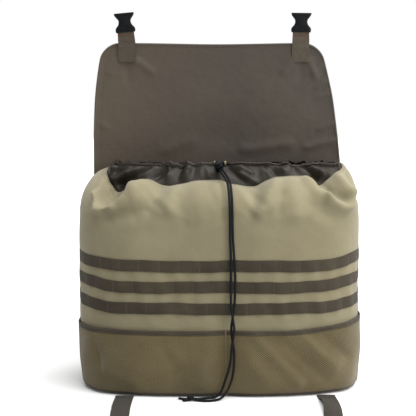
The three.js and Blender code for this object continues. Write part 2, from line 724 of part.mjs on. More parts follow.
// A flat band along a list of stations, each with its middle, its width and its thickness.
// Its width lies across the wearer's back, turned a little by each station's own twist.
function band(stations, side) {
  const middles = stations.map(([x, y, z]) => new THREE.Vector3(x * side, y, z));
  const surface = (sign) => (u, v) => {
    const here = middles[v];
    const tangent = new THREE.Vector3().subVectors(
      middles[Math.min(v + 1, middles.length - 1)], middles[Math.max(v - 1, 0)]).normalize();
    const across = new THREE.Vector3(1, 0, 0).addScaledVector(tangent, -tangent.x).normalize();
    const normal = new THREE.Vector3().crossVectors(across, tangent);
    const [, , , width, thickness] = stations[v];
    const edge = here.clone().addScaledVector(across, u * width / 2);
    return edge.addScaledVector(normal, sign * thickness / 2).toArray();
  };
  return slab([-1, 0, 1], range(stations.length, (i) => i), surface(1), surface(-1));
}

function addShoulderStraps() {
  for (const [name, side] of Object.entries({ left: -1, right: 1 })) {
    const { x: topX, y: topY, z: topZ } = HARNESS_TOP;
    const { x: footX, y: footY, z: footZ } = HARNESS_FOOT;
    const topTab = box(topX - 20, topX + 20, HALF_DEPTH + 0.6, topY + 5, topZ, topZ + 5);
    const footTab = box(footX - 13, footX + 13, HALF_DEPTH - 1.6, footY + 5, footZ - 5, footZ);
    const atSide = (tab, x) => (side > 0 ? tab : tab.translate(-2 * x, 0, 0));
    addPart(`harness_top_tab_${name}`, atSide(topTab, topX), 'webbing');
    addPart(`harness_foot_tab_${name}`, atSide(footTab, footX), 'webbing');
    const pad = band([
      [topX, topY, topZ - 4.5, 38, 5], [74, 174, 414, 42, 9], [79, 186, 398, 54, 12],
      [88, 196, 368, 64, 13], [101, 202, 330, 66, 13], [120, 203, 288, 66, 13],
      [141, 200, 246, 65, 13], [160, 195, 206, 60, 12], [175, 188, 170, 48, 11], [184, 183, 146, 34, 8],
    ], side);
    addPart(`shoulder_strap_${name}`, pad, 'lid');
    const ladderLock = band([
      [184.8, 182.3, 143.4, 34, 6], [187, 180.5, 136, 34, 6], [189.5, 178, 126, 33, 6],
    ], side);
    addPart(`ladder_lock_${name}`, ladderLock, 'black');
    const webbing = band([
      [190, 177.6, 125, 25, 2], [198, 170, 102, 25, 2], [206, 161, 78, 25, 2],
      [footX, footY + 0.5, footZ + 4, 25, 2]], side);
    addPart(`harness_webbing_${name}`, webbing, 'webbing');
  }
}

function addHaulHandle() {
  const halfSpan = 38;
  const drop = 40;
  const tabHalfWidth = 11;
  const tabHalfHeight = 5;
  const points = range(13, (i) => {
    const angle = Math.PI + (i / 12) * Math.PI;
    return [halfSpan * Math.cos(angle), HANDLE_HINGE.y, HANDLE_HINGE.z + drop * Math.sin(angle)];
  });
  addPart('haul_handle', tube(points, HANDLE_DIAMETER, 24, 10), 'webbing');
  for (const [side, x] of Object.entries({ left: -halfSpan, right: halfSpan })) {
    const tabBack = HANDLE_HINGE.y - HANDLE_DIAMETER / 2 - GAP;
    const tab = box(
      x - tabHalfWidth, x + tabHalfWidth, HALF_DEPTH + 2 * GAP, tabBack,
      HANDLE_HINGE.z - tabHalfHeight, HANDLE_HINGE.z + tabHalfHeight);
    addPart(`haul_handle_tab_${side}`, tab, 'webbing');
  }
}

addWalls();
addClosingTop();
addEyelets();
addDrawcordLoop();
addDrawcordTails();
addCordLock();
addWebbingRows();
addMeshPockets();
addLid();
addLidBuckles();
addFootStraps();
addBack();
addShoulderStraps();
addHaulHandle();

export default backpack;
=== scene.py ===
# A wide soft hunting backpack with its lid up: a tan lofted bag with three rows of load webbing and
# two mesh pockets, a gathered dark throat with a drawcord and cord lock, a flap lid with two buckle
# straps, two foot straps and a padded harness. Metres, +Z up, front towards -Y.
import math
from collections import namedtuple

import bmesh
import bpy
import numpy as np
from mathutils import Matrix, Vector


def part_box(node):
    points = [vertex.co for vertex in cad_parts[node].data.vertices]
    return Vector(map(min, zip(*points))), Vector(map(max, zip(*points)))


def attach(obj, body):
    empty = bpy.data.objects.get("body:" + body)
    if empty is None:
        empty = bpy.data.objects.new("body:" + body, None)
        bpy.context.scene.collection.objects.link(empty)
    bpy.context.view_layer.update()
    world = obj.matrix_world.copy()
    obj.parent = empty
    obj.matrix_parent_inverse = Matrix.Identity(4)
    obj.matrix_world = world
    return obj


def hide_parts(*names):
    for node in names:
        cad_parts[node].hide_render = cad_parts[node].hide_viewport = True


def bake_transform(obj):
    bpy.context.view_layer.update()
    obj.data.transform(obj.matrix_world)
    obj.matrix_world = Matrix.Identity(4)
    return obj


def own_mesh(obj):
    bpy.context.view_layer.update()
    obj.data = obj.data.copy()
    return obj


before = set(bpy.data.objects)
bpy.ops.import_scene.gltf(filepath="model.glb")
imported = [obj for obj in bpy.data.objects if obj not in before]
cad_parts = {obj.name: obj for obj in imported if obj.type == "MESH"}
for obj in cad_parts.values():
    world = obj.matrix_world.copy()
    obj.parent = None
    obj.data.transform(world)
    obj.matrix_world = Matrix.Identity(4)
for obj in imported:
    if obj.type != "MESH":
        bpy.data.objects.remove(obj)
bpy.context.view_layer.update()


# ---------- camera, floor and light ----------
EYE = Vector((-0.0235, -2.3015, 0.668))
LOOK_DOWN = math.radians(7.1)
LENS = 92.4


def add_camera():
    camera = bpy.data.cameras.new("studio_camera")
    camera.lens = LENS
    camera.sensor_width = 36
    holder = bpy.data.objects.new("studio_camera", camera)
    holder.location = EYE
    holder.rotation_euler = (math.pi / 2 - LOOK_DOWN, 0, 0)
    bpy.context.collection.objects.link(holder)
    bpy.context.scene.camera = holder


def add_area_light(name, place, target, size, power):
    light = bpy.data.lights.new(name, "AREA")
    light.shape = "SQUARE"
    light.size = size
    light.energy = power
    holder = bpy.data.objects.new(name, light)
    holder.location = place
    holder.rotation_euler = (Vector(target) - Vector(place)).to_track_quat("-Z", "Y").to_euler()
    bpy.context.collection.objects.link(holder)


def add_studio():
    world = bpy.data.worlds.new("soft_studio")
    world.use_nodes = True
    background = world.node_tree.nodes["Background"]
    background.inputs["Color"].default_value = (1, 1, 1, 1)
    background.inputs["Strength"].default_value = 1.0
    bpy.context.scene.world = world
    bpy.context.scene.view_settings.view_transform = "Standard"
    overhead = bpy.data.lights.new("overhead_skylight", "SUN")
    overhead.energy = 7.8
    overhead.angle = math.radians(70)
    holder = bpy.data.objects.new("overhead_skylight", overhead)
    holder.rotation_euler = (math.radians(8), math.radians(20), 0)
    bpy.context.collection.objects.link(holder)
    add_area_light("right_softbox", (1.3, -0.85, 0.7), (0.1, -0.1, 0.2), 0.8, 20)


# ---------- colour and nodes ----------
def linear(code):
    """An sRGB hex colour as linear RGBA: c / 12.92 when dark, else ((c + 0.055) / 1.055) ^ 2.4."""
    channels = [int(code[i:i + 2], 16) / 255 for i in (1, 3, 5)]
    return [c / 12.92 if c <= 0.04045 else ((c + 0.055) / 1.055) ** 2.4 for c in channels] + [1.0]


def add(tree, kind, settings=None, links=None):
    """A node of this kind with its settings; each input takes a number, a colour or a socket."""
    made = tree.nodes.new(kind)
    for key, value in (settings or {}).items():
        setattr(made, key, value)
    for key, value in (links or {}).items():
        socket = made.inputs[key]
        if isinstance(value, bpy.types.NodeSocket):
            tree.links.new(value, socket)
        else:
            socket.default_value = value
    return made


def maths(tree, operation, *values):
    """The result socket of a Math node."""
    return add(tree, "ShaderNodeMath", {"operation": operation}, dict(enumerate(values))).outputs[0]


def start_material(name, settings):
    """A material with its shader's constant sockets set, and its node tree and shader node."""
    made = bpy.data.materials.new(name)
    made.use_nodes = True
    shader = made.node_tree.nodes["Principled BSDF"]
    for key, value in settings.items():
        shader.inputs[key].default_value = value
    return made, made.node_tree, shader


def ramp(tree, factor, stops):
    """Colours at places along a factor from 0 to 1, as (place, hex) pairs."""
    made = add(tree, "ShaderNodeValToRGB", {}, {"Fac": factor})
    band = made.color_ramp
    while len(band.elements) < len(stops):
        band.elements.new(0.5)
    for element, (place, code) in zip(band.elements, stops):
        element.position = place
        element.color = linear(code)
    return made.outputs["Color"]


def tint(tree, base, factor, code, strength=1.0):
    """The base colour turned towards another one by a factor socket times a strength."""
    amount = maths(tree, "MULTIPLY", factor, strength)
    made = add(tree, "ShaderNodeMix", {"data_type": "RGBA"}, {0: amount, 6: base, 7: linear(code)})
    return made.outputs[2]


def noise(tree, vector, scale, detail=3.0, roughness=0.55):
    made = add(tree, "ShaderNodeTexNoise", {}, {
        "Vector": vector, "Scale": scale, "Detail": detail, "Roughness": roughness})
    return made.outputs["Fac"]


def plain_weave(tree, vector, pitch):
    """Height of a plain weave: sin(pi u / p) times sin(pi v / p), which is high where the warp is
    on top and low where the weft is, plus a little of each thread's own round back."""
    parts = add(tree, "ShaderNodeSeparateXYZ", {}, {0: vector})
    across = maths(tree, "SINE", maths(tree, "MULTIPLY", parts.outputs[0], math.pi / pitch))
    along = maths(tree, "SINE", maths(tree, "MULTIPLY", parts.outputs[1], math.pi / pitch))
    crossing = maths(tree, "MULTIPLY", across, along)
    backs = maths(tree, "ADD", maths(tree, "ABSOLUTE", across), maths(tree, "ABSOLUTE", along))
    return maths(tree, "ADD", crossing, maths(tree, "MULTIPLY", backs, 0.35))


def bump(tree, shader, layers):
    """Bumps one on another, each as a height socket and its distance in metres."""
    normal = None
    for height, distance in layers:
        links = {"Height": height, "Distance": distance, "Strength": 1.0}
        if normal is not None:
            links["Normal"] = normal
        normal = add(tree, "ShaderNodeBump", {}, links).outputs["Normal"]
    tree.links.new(normal, shader.inputs["Normal"])


def cloth_finish(name, base, shade, light, pitch, settings, relief=0.00012, coords="UV",
                 faded=None):
    """Woven cloth: slow colour drift between three near tones, a thread to thread mottle and the
    weave's own relief. Coords is UV in metres along the cloth, or Object on remeshed pads. Faded
    is the colour that the -X side has bleached to."""
    made, tree, shader = start_material(name, settings)
    places = add(tree, "ShaderNodeTexCoord")
    drift = noise(tree, places.outputs["Object"], 5.5, 4.0, 0.6)
    slubs = noise(tree, places.outputs["Object"], 420.0, 2.0, 0.6)
    if coords == "UV":
        flat = places.outputs["UV"]
    else:
        turned = add(tree, "ShaderNodeMapping", {}, {
            "Vector": places.outputs["Object"], "Rotation": (math.pi / 2, 0, 0)})
        flat = turned.outputs[0]
    weave = plain_weave(tree, flat, pitch)
    colour = ramp(tree, drift, [(0.3, shade), (0.52, base), (0.72, light)])
    threads = maths(tree, "MULTIPLY_ADD", weave, 0.25, 0.5)
    colour = tint(tree, colour, maths(tree, "SUBTRACT", 0.62, threads), shade, 0.5)
    colour = tint(tree, colour, maths(tree, "SUBTRACT", slubs, 0.35), light, 0.35)
    if faded:
        parts = add(tree, "ShaderNodeSeparateXYZ", {}, {0: places.outputs["Object"]})
        bleach = maths(tree, "MULTIPLY_ADD", parts.outputs[0], -2.6, 0.1)
        colour = tint(tree, colour, bleach, faded)
    tree.links.new(colour, shader.inputs["Base Color"])
    creases = noise(tree, places.outputs["Object"], 34.0, 4.0, 0.55)
    bump(tree, shader, [(creases, 0.0016), (weave, relief)])
    return made


# ---------- materials ----------
def tan_polyester():
    """600 denier polyester, plain woven and coated inside: matt, dry, with a visible square
    weave. Its threads are 0.5 mm apart, drawn 1.4 mm apart so that they show."""
    return cloth_finish("tan_600d_polyester", "#615b46", "#5a533f", "#69624e", 0.0014, {
        "Roughness": 0.86, "Sheen Weight": 0.12, "Sheen Roughness": 0.5, "Specular IOR Level": 0.25})


def throat_nylon():
    """Thin dark nylon taffeta: tight and smooth, so its folds carry soft highlights."""
    return cloth_finish("dark_nylon_taffeta", "#19150e", "#15100a", "#1e1812", 0.001, {
        "Roughness": 0.52, "Specular IOR Level": 0.14}, relief=0.00004)


def lid_oxford():
    """Taupe oxford nylon: smoother and a little shinier than the tan cloth."""
    return cloth_finish("taupe_oxford_nylon", "#312a24", "#2c2720", "#373026", 0.0012, {
        "Roughness": 0.62, "Sheen Weight": 0.04, "Specular IOR Level": 0.25}, relief=0.00008,
                        faded="#3f362b")


def back_pack_cloth():
    """Heavy pack cloth on the back and the base, the hardest worn part."""
    return cloth_finish("taupe_pack_cloth", "#3a342d", "#302c26", "#453f35", 0.0018, {
        "Roughness": 0.8, "Sheen Weight": 0.1, "Specular IOR Level": 0.3}, relief=0.00016)


def spacer_mesh():
    """Knitted air mesh over foam on the harness: round holes about 3 mm apart."""
    made, tree, shader = start_material("knitted_spacer_mesh", {
        "Roughness": 0.92, "Sheen Weight": 0.25, "Specular IOR Level": 0.2})
    places = add(tree, "ShaderNodeTexCoord")
    turned = add(tree, "ShaderNodeMapping", {}, {
        "Vector": places.outputs["Object"], "Scale": (1.0, 0.15, 0.9)})
    cells = add(tree, "ShaderNodeTexVoronoi", {}, {
        "Vector": turned.outputs[0], "Scale": 330.0, "Randomness": 0.25})
    drift = noise(tree, places.outputs["Object"], 9.0, 4.0)
    colour = ramp(tree, cells.outputs["Distance"], [
        (0.1, "#12100e"), (0.42, "#302c27"), (0.75, "#3c3730")])
    colour = tint(tree, colour, drift, "#464039", 0.35)
    tree.links.new(colour, shader.inputs["Base Color"])
    bump(tree, shader, [(drift, 0.002), (cells.outputs["Distance"], 0.0009)])
    return made


def ribbed_webbing(name, colours, valley, pick):
    """Polyester webbing: ribs run along it 2.4 mm apart, darker in the valleys between them, and
    picks cross them 1.6 mm apart."""
    made, tree, shader = start_material(name, {
        "Roughness": 0.78, "Sheen Weight": 0.05, "Specular IOR Level": 0.14})
    places = add(tree, "ShaderNodeTexCoord")
    parts = add(tree, "ShaderNodeSeparateXYZ", {}, {0: places.outputs["UV"]})
    ribs = maths(tree, "SINE", maths(tree, "MULTIPLY", parts.outputs[1], math.tau / 0.0024))
    picks = maths(tree, "SINE", maths(tree, "MULTIPLY", parts.outputs[0], math.tau / 0.0016))
    drift = noise(tree, places.outputs["Object"], 14.0, 4.0, 0.6)
    colour = ramp(tree, drift, list(zip((0.3, 0.5, 0.7), colours)))
    shade = maths(tree, "MULTIPLY", maths(tree, "SUBTRACT", 1.0, ribs), 0.5)
    colour = tint(tree, colour, shade, valley, 0.4)
    colour = tint(tree, colour, maths(tree, "ABSOLUTE", picks), pick, 0.12)
    tree.links.new(colour, shader.inputs["Base Color"])
    weave = maths(tree, "ADD", ribs, maths(tree, "MULTIPLY", picks, 0.5))
    bump(tree, shader, [(drift, 0.001), (weave, 0.00018)])
    return made


def pocket_netting():
    """Knitted polyester netting: dull olive yarn with lighter worn specks."""
    made, tree, shader = start_material("knitted_polyester_netting", {
        "Roughness": 0.9, "Sheen Weight": 0.2, "Specular IOR Level": 0.2})
    places = add(tree, "ShaderNodeTexCoord")
    drift = noise(tree, places.outputs["Object"], 11.0, 4.0, 0.6)
    yarn = noise(tree, places.outputs["Object"], 900.0, 2.0, 0.7)
    colour = ramp(tree, drift, [(0.3, "#413822"), (0.5, "#4a4028"), (0.7, "#544a30")])
    colour = tint(tree, colour, yarn, "#5e5236", 0.3)
    tree.links.new(colour, shader.inputs["Base Color"])
    bump(tree, shader, [(yarn, 0.0002)])
    return made


def braided_cord():
    """Black polyester braid: strands wind round it both ways, 3.9 mm apart round the cord and
    4.5 mm apart along it, with a little fuzz."""
    made, tree, shader = start_material("black_braided_cord", {
        "Roughness": 0.7, "Specular IOR Level": 0.08})
    places = add(tree, "ShaderNodeTexCoord")
    parts = add(tree, "ShaderNodeSeparateXYZ", {}, {0: places.outputs["UV"]})
    around = maths(tree, "MULTIPLY", parts.outputs[1], math.tau / 0.0039)
    along = maths(tree, "MULTIPLY", parts.outputs[0], math.tau / 0.0045)
    right = maths(tree, "SINE", maths(tree, "ADD", around, along))
    left = maths(tree, "SINE", maths(tree, "SUBTRACT", around, along))
    braid = maths(tree, "MAXIMUM", right, left)
    fuzz = noise(tree, places.outputs["Object"], 700.0, 2.0)
    height = maths(tree, "MULTIPLY_ADD", braid, 0.5, 0.5)
    colour = ramp(tree, height, [(0.2, "#030404"), (0.75, "#08090b"), (1.0, "#111315")])
    colour = tint(tree, colour, fuzz, "#14171a", 0.25)
    tree.links.new(colour, shader.inputs["Base Color"])
    bump(tree, shader, [(braid, 0.0003)])
    return made


def moulded_acetal():
    """Black acetal from an injection mould: a fine spark grain with scuffs that change its shine."""
    made, tree, shader = start_material("black_moulded_acetal", {
        "Roughness": 0.42, "Specular IOR Level": 0.10, "IOR": 1.48})
    places = add(tree, "ShaderNodeTexCoord")
    grain = noise(tree, places.outputs["Object"], 1400.0, 2.0, 0.7)
    scuffs = noise(tree, places.outputs["Object"], 120.0, 6.0, 0.7)
    colour = ramp(tree, scuffs, [(0.35, "#050609"), (0.6, "#080b0d"), (0.8, "#121619")])
    rough = maths(tree, "MULTIPLY_ADD", scuffs, 0.3, 0.3)
    tree.links.new(colour, shader.inputs["Base Color"])
    tree.links.new(rough, shader.inputs["Roughness"])
    bump(tree, shader, [(grain, 0.00006)])
    return made


def grained(name, settings, grain, stops, depth=0.0):
    """A material whose colour follows one noise, given as its scale, detail and roughness. The
    noise is also its relief when that has a depth."""
    made, tree, shader = start_material(name, settings)
    places = add(tree, "ShaderNodeTexCoord")
    texture = noise(tree, places.outputs["Object"], *grain)
    tree.links.new(ramp(tree, texture, stops), shader.inputs["Base Color"])
    if depth:
        bump(tree, shader, [(texture, depth)])
    return made


def aged_brass():
    """Rolled brass eyelets with a dull olive lacquer that has worn through in spots."""
    return grained("lacquered_brass", {"Metallic": 0.7, "Roughness": 0.45}, (300.0, 4.0, 0.7),
                   [(0.3, "#57503e"), (0.55, "#6a614a"), (0.75, "#8a7e5e")], 0.0001)


def drawn_steel():
    """Bright drawn spring wire: finely speckled, with a clear shine."""
    return grained("drawn_spring_steel", {"Metallic": 1.0, "Roughness": 0.3}, (900.0, 3.0, 0.6),
                   [(0.3, "#9d9d99"), (0.7, "#c9c9c5")], 0.00003)


def extruded_polyethylene():
    """Black polyethylene frame sheet: waxy and slightly mottled from extrusion."""
    return grained("extruded_polyethylene", {"Roughness": 0.5, "Specular IOR Level": 0.4, "IOR": 1.51},
                   (40.0, 5.0, 0.6), [(0.3, "#1d1d1d"), (0.7, "#2e2d2c")], 0.0008)


def sewing_thread(name, code, dark):
    """Bonded polyester thread: finely mottled, a touch shinier than the cloth."""
    return grained(name, {"Roughness": 0.55, "Specular IOR Level": 0.4}, (1600.0, 2.0, 0.6),
                   [(0.3, dark), (0.7, code)], 0.0001)


def painted_floor():
    """A plain pale painted floor, matt, with a very faint unevenness."""
    return grained("pale_matt_floor", {"Roughness": 0.95, "Specular IOR Level": 0.1}, (1.5, 2.0),
                   [(0.3, "#b4b4b3"), (0.7, "#b6b6b5")])


TAN = tan_polyester()
THROAT = throat_nylon()
LID = lid_oxford()
BACK = back_pack_cloth()
SPACER = spacer_mesh()
WEBBING = ribbed_webbing(
    "woven_polyester_webbing", ("#241f17", "#2b251c", "#322d21"), "#1c1811", "#423a2b")
# A darker copy of the webbing for the foot straps: painted shade, for the shade that the bag casts over
# them.
SHADED_FOOT_WEBBING = ribbed_webbing(
    "foot_webbing_painted_shade", ("#17140e", "#1d1811", "#221e15"), "#110e09", "#2e281d")
LID_WEBBING = ribbed_webbing(
    "worn_lid_webbing", ("#332d26", "#3c362d", "#463e35"), "#29241e", "#594f42")
NETTING = pocket_netting()
BRAID = braided_cord()
ACETAL = moulded_acetal()
BRASS = aged_brass()
STEEL = drawn_steel()
SHEET_PLASTIC = extruded_polyethylene()
TAN_THREAD = sewing_thread("tan_bonded_thread", "#7d7662", "#585242")
DARK_THREAD = sewing_thread("taupe_bonded_thread", "#544d42", "#312c26")
WEB_THREAD = sewing_thread("webbing_bonded_thread", "#3a352b", "#2a261e")
RUST_THREAD = sewing_thread("rust_bonded_thread", "#732f1c", "#4d2116")


# ---------- arrays to meshes ----------
Part = namedtuple("Part", "points faces uvs")


def unit(v):
    return v / np.maximum(np.linalg.norm(v, axis=-1, keepdims=True), 1e-12)


def smooth(t):
    c = np.clip(t, 0, 1)
    return c * c * (3 - 2 * c)


def lerp(a, b, t):
    return a + (b - a) * t


def turns(count):
    """Even angles once round."""
    return np.linspace(0, math.tau, count, endpoint=False)


def squircle(count, power):
    """Points once round |x|^n + |y|^n = 1."""
    c, s = np.cos(turns(count)), np.sin(turns(count))
    reach = (np.abs(c) ** power + np.abs(s) ** power) ** (-1 / power)
    return c * reach, s * reach


def middle_of(node):
    """The middle of a CAD node's box."""
    low, high = (np.array(corner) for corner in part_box(node))
    return (low + high) / 2


def grid_normals(grid, ring=False):
    """The cross product of the differences along the two directions of a grid of points."""
    along = np.roll(grid, -1, 0) - np.roll(grid, 1, 0) if ring else np.gradient(grid, axis=0)
    return unit(np.cross(along, np.gradient(grid, axis=1)))


def lengths_along(grid, axis):
    """Mean distance along one direction of a grid, from its first line."""
    steps = np.linalg.norm(np.diff(grid, axis=axis), axis=2).mean(axis=1 - axis)
    return np.concatenate([[0], np.cumsum(steps)])


def volume(points, faces):
    """Signed volume of quads, from the triangles 012 and 023 of each."""
    a, b, c, d = (points[faces[:, k]] for k in range(4))
    return (np.cross(a, b) * c).sum() / 6 + (np.cross(a, c) * d).sum() / 6


def grid_quads(grid):
    """The four corners of every cell of a grid of numbers or points."""
    return np.stack([grid[:-1, :-1], grid[1:, :-1], grid[1:, 1:], grid[:-1, 1:]], 2)


def grid_places(grid):
    """Each point's UV place: its distance along the two directions of its grid, in metres."""
    return np.stack(np.meshgrid(lengths_along(grid, 0), lengths_along(grid, 1), indexing="ij"), -1)


def shell(outer, inner, ring=False):
    """A closed body between two grids of points: both grids' faces, joined along open edges."""
    n, m = outer.shape[:2]
    closed = np.concatenate([outer, outer[:1]]) if ring else outer
    index = np.arange(len(closed) * m).reshape(-1, m)
    vertex = index % (n * m)
    uv = grid_places(closed).reshape(-1, 2)

    def wall(line, under):
        return np.stack([line[1:], line[:-1], under[:-1], under[1:]], -1)

    front, front_uv = (grid_quads(ids).reshape(-1, 4) for ids in (vertex, index))
    back, back_uv = front[:, ::-1] + n * m, front_uv[:, ::-1]
    edges = [(vertex[:, 0], index[:, 0]), (vertex[::-1, -1], index[::-1, -1])]
    if not ring:
        edges += [(vertex[0, ::-1], index[0, ::-1]), (vertex[-1], index[-1])]
    faces = [front, back] + [wall(line, line + n * m) for line, _ in edges]
    uv_ids = [front_uv, back_uv] + [wall(ids, ids) for _, ids in edges]
    points = np.concatenate([outer.reshape(-1, 3), inner.reshape(-1, 3)])
    return outward(Part(points, np.concatenate(faces), uv[np.concatenate(uv_ids)]))


def outward(part):
    """The part with its faces turned outwards."""
    if volume(part.points, part.faces) >= 0:
        return part
    return Part(part.points, part.faces[:, ::-1], part.uvs[:, ::-1])


def thick(grid, thickness, ring=False):
    """A shell of a cloth's thickness behind a grid of points."""
    amount = np.broadcast_to(np.asarray(thickness, float), grid.shape[:2])[..., None]
    return shell(grid, grid - grid_normals(grid, ring) * amount, ring)


def together(parts):
    """Several parts as one, each keeping its own closed skin."""
    starts = np.cumsum([0] + [len(p.points) for p in parts[:-1]])
    return Part(
        np.concatenate([p.points for p in parts]),
        np.concatenate([p.faces + s for p, s in zip(parts, starts)]),
        np.concatenate([p.uvs for p in parts]))


def frames_along(path, up=(0, 0, 1)):
    """Tangents of a path and two directions across it, carried along with no added turn."""
    tangent = unit(np.gradient(path, axis=0))
    side = np.empty_like(path)
    side[0] = unit(np.cross(tangent[0], up))
    for i in range(1, len(path)):
        flat = side[i - 1] - tangent[i] * (side[i - 1] @ tangent[i])
        side[i] = flat / np.linalg.norm(flat)
    return tangent, side, np.cross(tangent, side)


def curve_through(points, spacing):
    """A smooth curve through points: between each two, the cubic whose slope at a point is half
    the step from the one before it to the one after it. Resampled at an even spacing."""
    p = np.asarray(points, float)
    p = np.concatenate([[2 * p[0] - p[1]], p, [2 * p[-1] - p[-2]]])
    t = np.linspace(0, 1, 13)[:-1][None, :, None]
    a, b, c, d = (p[k:len(p) - 3 + k][:, None] for k in range(4))
    fine = 0.5 * (2 * b + (c - a) * t + (2 * a - 5 * b + 4 * c - d) * t ** 2
                  + (3 * b - a - 3 * c + d) * t ** 3)
    return resample(np.concatenate([fine.reshape(-1, p.shape[1]), p[-2:-1]]), spacing)


def resample(path, spacing):
    """The same line with points an even distance apart."""
    reach = np.concatenate([[0], np.cumsum(np.linalg.norm(np.diff(path, axis=0), axis=1))])
    places = np.linspace(0, reach[-1], max(2, int(round(reach[-1] / spacing)) + 1))
    return np.stack([np.interp(places, reach, path[:, k]) for k in range(path.shape[1])], -1)


def tube(path, radius, sides=12, squash=1.0, up=(0, 0, 1), relief=None):
    """A round bar along a path: centre + r (cos a * side + sin a * across), closed by half round
    ends. Relief is an extra radius for each point and angle."""
    radius = np.broadcast_to(np.asarray(radius, float), (len(path),))
    tangent, side, across = frames_along(path, up)
    tilt = np.radians([89.9, 60, 30])
    bulge, waist = np.sin(tilt), np.cos(tilt)
    ends = [(path[0], tangent[0] * -1, radius[0], bulge, waist),
            (path[-1], tangent[-1], radius[-1], bulge[::-1], waist[::-1])]
    caps = [(c + t * (b * r * min(1, squash))[:, None], w * r) for c, t, r, b, w in ends]
    middle = np.concatenate([caps[0][0], path, caps[1][0]])
    size = np.concatenate([caps[0][1], radius, caps[1][1]])
    sides_at, across_at = (np.pad(v, ((3, 3), (0, 0)), mode="edge") for v in (side, across))
    angle = turns(sides)
    reach = size[:, None] + 0 * angle[None]
    if relief is not None:
        reach[3:-3] += relief
    rings = (middle[:, None] + sides_at[:, None] * (reach * np.cos(angle))[..., None]
             + across_at[:, None] * (reach * np.sin(angle) * squash)[..., None])
    return ring_part(rings)


def ring_part(rings):
    """Rings of points, one after another, skinned and closed by a flat face at each end."""
    n, m = rings.shape[:2]
    index = np.arange(n * m).reshape(n, m)
    wrapped = np.concatenate([index, index[:, :1]], 1)
    faces = np.stack([wrapped[:-1, :-1], wrapped[:-1, 1:], wrapped[1:, 1:], wrapped[1:, :-1]], -1)
    place = grid_places(np.concatenate([rings, rings[:, :1]], 1))
    uvs = np.stack([place[:-1, :-1], place[:-1, 1:], place[1:, 1:], place[1:, :-1]], 2).reshape(-1, 4, 2)
    half = m // 2
    ends = []
    for line in (index[0], index[-1][::-1]):
        other = line[::-1]
        strip = np.stack([line[:half - 1], line[1:half], other[1:half], other[:half - 1]], -1)
        ends.append(strip[:, ::-1])
    faces = np.concatenate([faces.reshape(-1, 4)] + ends)
    uvs = np.concatenate([uvs, np.zeros((len(faces) - len(uvs), 4, 2))])
    return outward(Part(rings.reshape(-1, 3), faces, uvs))


def closed_grid(points):
    """A grid that closes on itself in both directions, such as a ring."""
    n, m = points.shape[:2]
    index = np.arange(n * m).reshape(n, m)
    faces = grid_quads(np.pad(index, ((0, 1), (0, 1)), mode="wrap")).reshape(-1, 4)
    place = grid_places(np.pad(points, ((0, 1), (0, 1), (0, 0)), mode="wrap"))
    return outward(Part(points.reshape(-1, 3), faces, grid_quads(place).reshape(-1, 4, 2)))


def loop_tube(path, radius, sides=12, up=(0, 0, 1)):
    """A round bar along a closed path, such as an eyelet's rim or a knot."""
    tangent = unit(np.roll(path, -1, 0) - np.roll(path, 1, 0))
    side = unit(np.cross(tangent, up))
    across = np.cross(tangent, side)
    angle = turns(sides)[None, :, None]
    round_it = side[:, None] * np.cos(angle) + across[:, None] * np.sin(angle)
    return closed_grid(path[:, None] + radius * round_it)


def rounded_box(low, high, ease, steps=3):
    """A box with round edges: every direction n on a ball is moved out to the corner of its own
    octant, point = corner centre + ease * n."""
    low, high = np.asarray(low, float), np.asarray(high, float)
    middle, half = (low + high) / 2, (high - low) / 2
    ease = min(ease, half.min() * 0.98)
    quarter = np.linspace(0, math.pi / 2, steps + 1)
    around = np.concatenate([quarter + k * math.pi / 2 for k in range(4)])
    sign_x = np.repeat([1, -1, -1, 1], steps + 1)
    sign_y = np.repeat([1, 1, -1, -1], steps + 1)
    height = np.concatenate([quarter - math.pi / 2, quarter])
    sign_z = np.repeat([-1, 1], steps + 1)
    waist = np.clip(np.cos(height), 1e-4, None)
    ball = np.stack(np.broadcast_arrays(
        waist[:, None] * np.cos(around), waist[:, None] * np.sin(around), np.sin(height)[:, None]), -1)
    signs = np.stack(np.broadcast_arrays(sign_x[None], sign_y[None], sign_z[:, None]), -1)
    rings = middle + signs * (half - ease) + ball * ease
    drawn_in = np.array([1e-3, 1e-3, 1.0])
    lids = [middle + (line - middle) * drawn_in for line in (rings[:1], rings[-1:])]
    return ring_part(np.concatenate([lids[0], rings, lids[1]]))


def moved(part, matrix):
    """A part turned and moved by a 4 x 4 matrix."""
    m = np.array(matrix)
    return Part(part.points @ m[:3, :3].T + m[:3, 3], part.faces, part.uvs)


def mesh_of(name, part, weld=True):
    mesh = bpy.data.meshes.new(name)
    mesh.from_pydata(part.points.tolist(), [], part.faces.tolist())
    layer = mesh.uv_layers.new(name="UVMap")
    layer.data.foreach_set("uv", np.ascontiguousarray(part.uvs, dtype=np.float32).ravel())
    if weld:
        work = bmesh.new()
        work.from_mesh(mesh)
        bmesh.ops.remove_doubles(work, verts=work.verts, dist=1e-6)
        work.to_mesh(mesh)
        work.free()
    mesh.polygons.foreach_set("use_smooth", np.ones(len(mesh.polygons), bool))
    mesh.set_sharp_from_angle(angle=math.radians(50))
    return mesh


def loose(name, part, finish, weld=True):
    """An object with its mesh and finish, in the scene but not yet on a body."""
    made = bpy.data.objects.new(name, mesh_of(name, part, weld))
    made.data.materials.append(finish)
    bpy.context.collection.objects.link(made)
    return made


def piece(name, part, finish, body, replaces=(), rides=True):
    """A named piece of the object with its finish, the body that it rides on
    and the CAD nodes that it stands for."""
    return settle(loose(name, part, finish), body, replaces, rides)


def settle(made, body, replaces=(), rides=True):
    if rides:
        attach(made, body)
    if replaces:
        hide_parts(*replaces)
    return made


# Pitch, length and radius of the stitches in light seams, the lid's seams and bartacks.
LIGHT_STITCH = (0.0042, 0.003, 0.00045)
LID_STITCH = (0.0044, 0.0032, 0.00045)
BARTACK = (0.0022, 0.0022, 0.0005)


def outwards_from_middle(line):
    """Level directions away from the bag's middle line, turned mostly to the front."""
    return unit(line * np.array([0.35, 1, 0]))


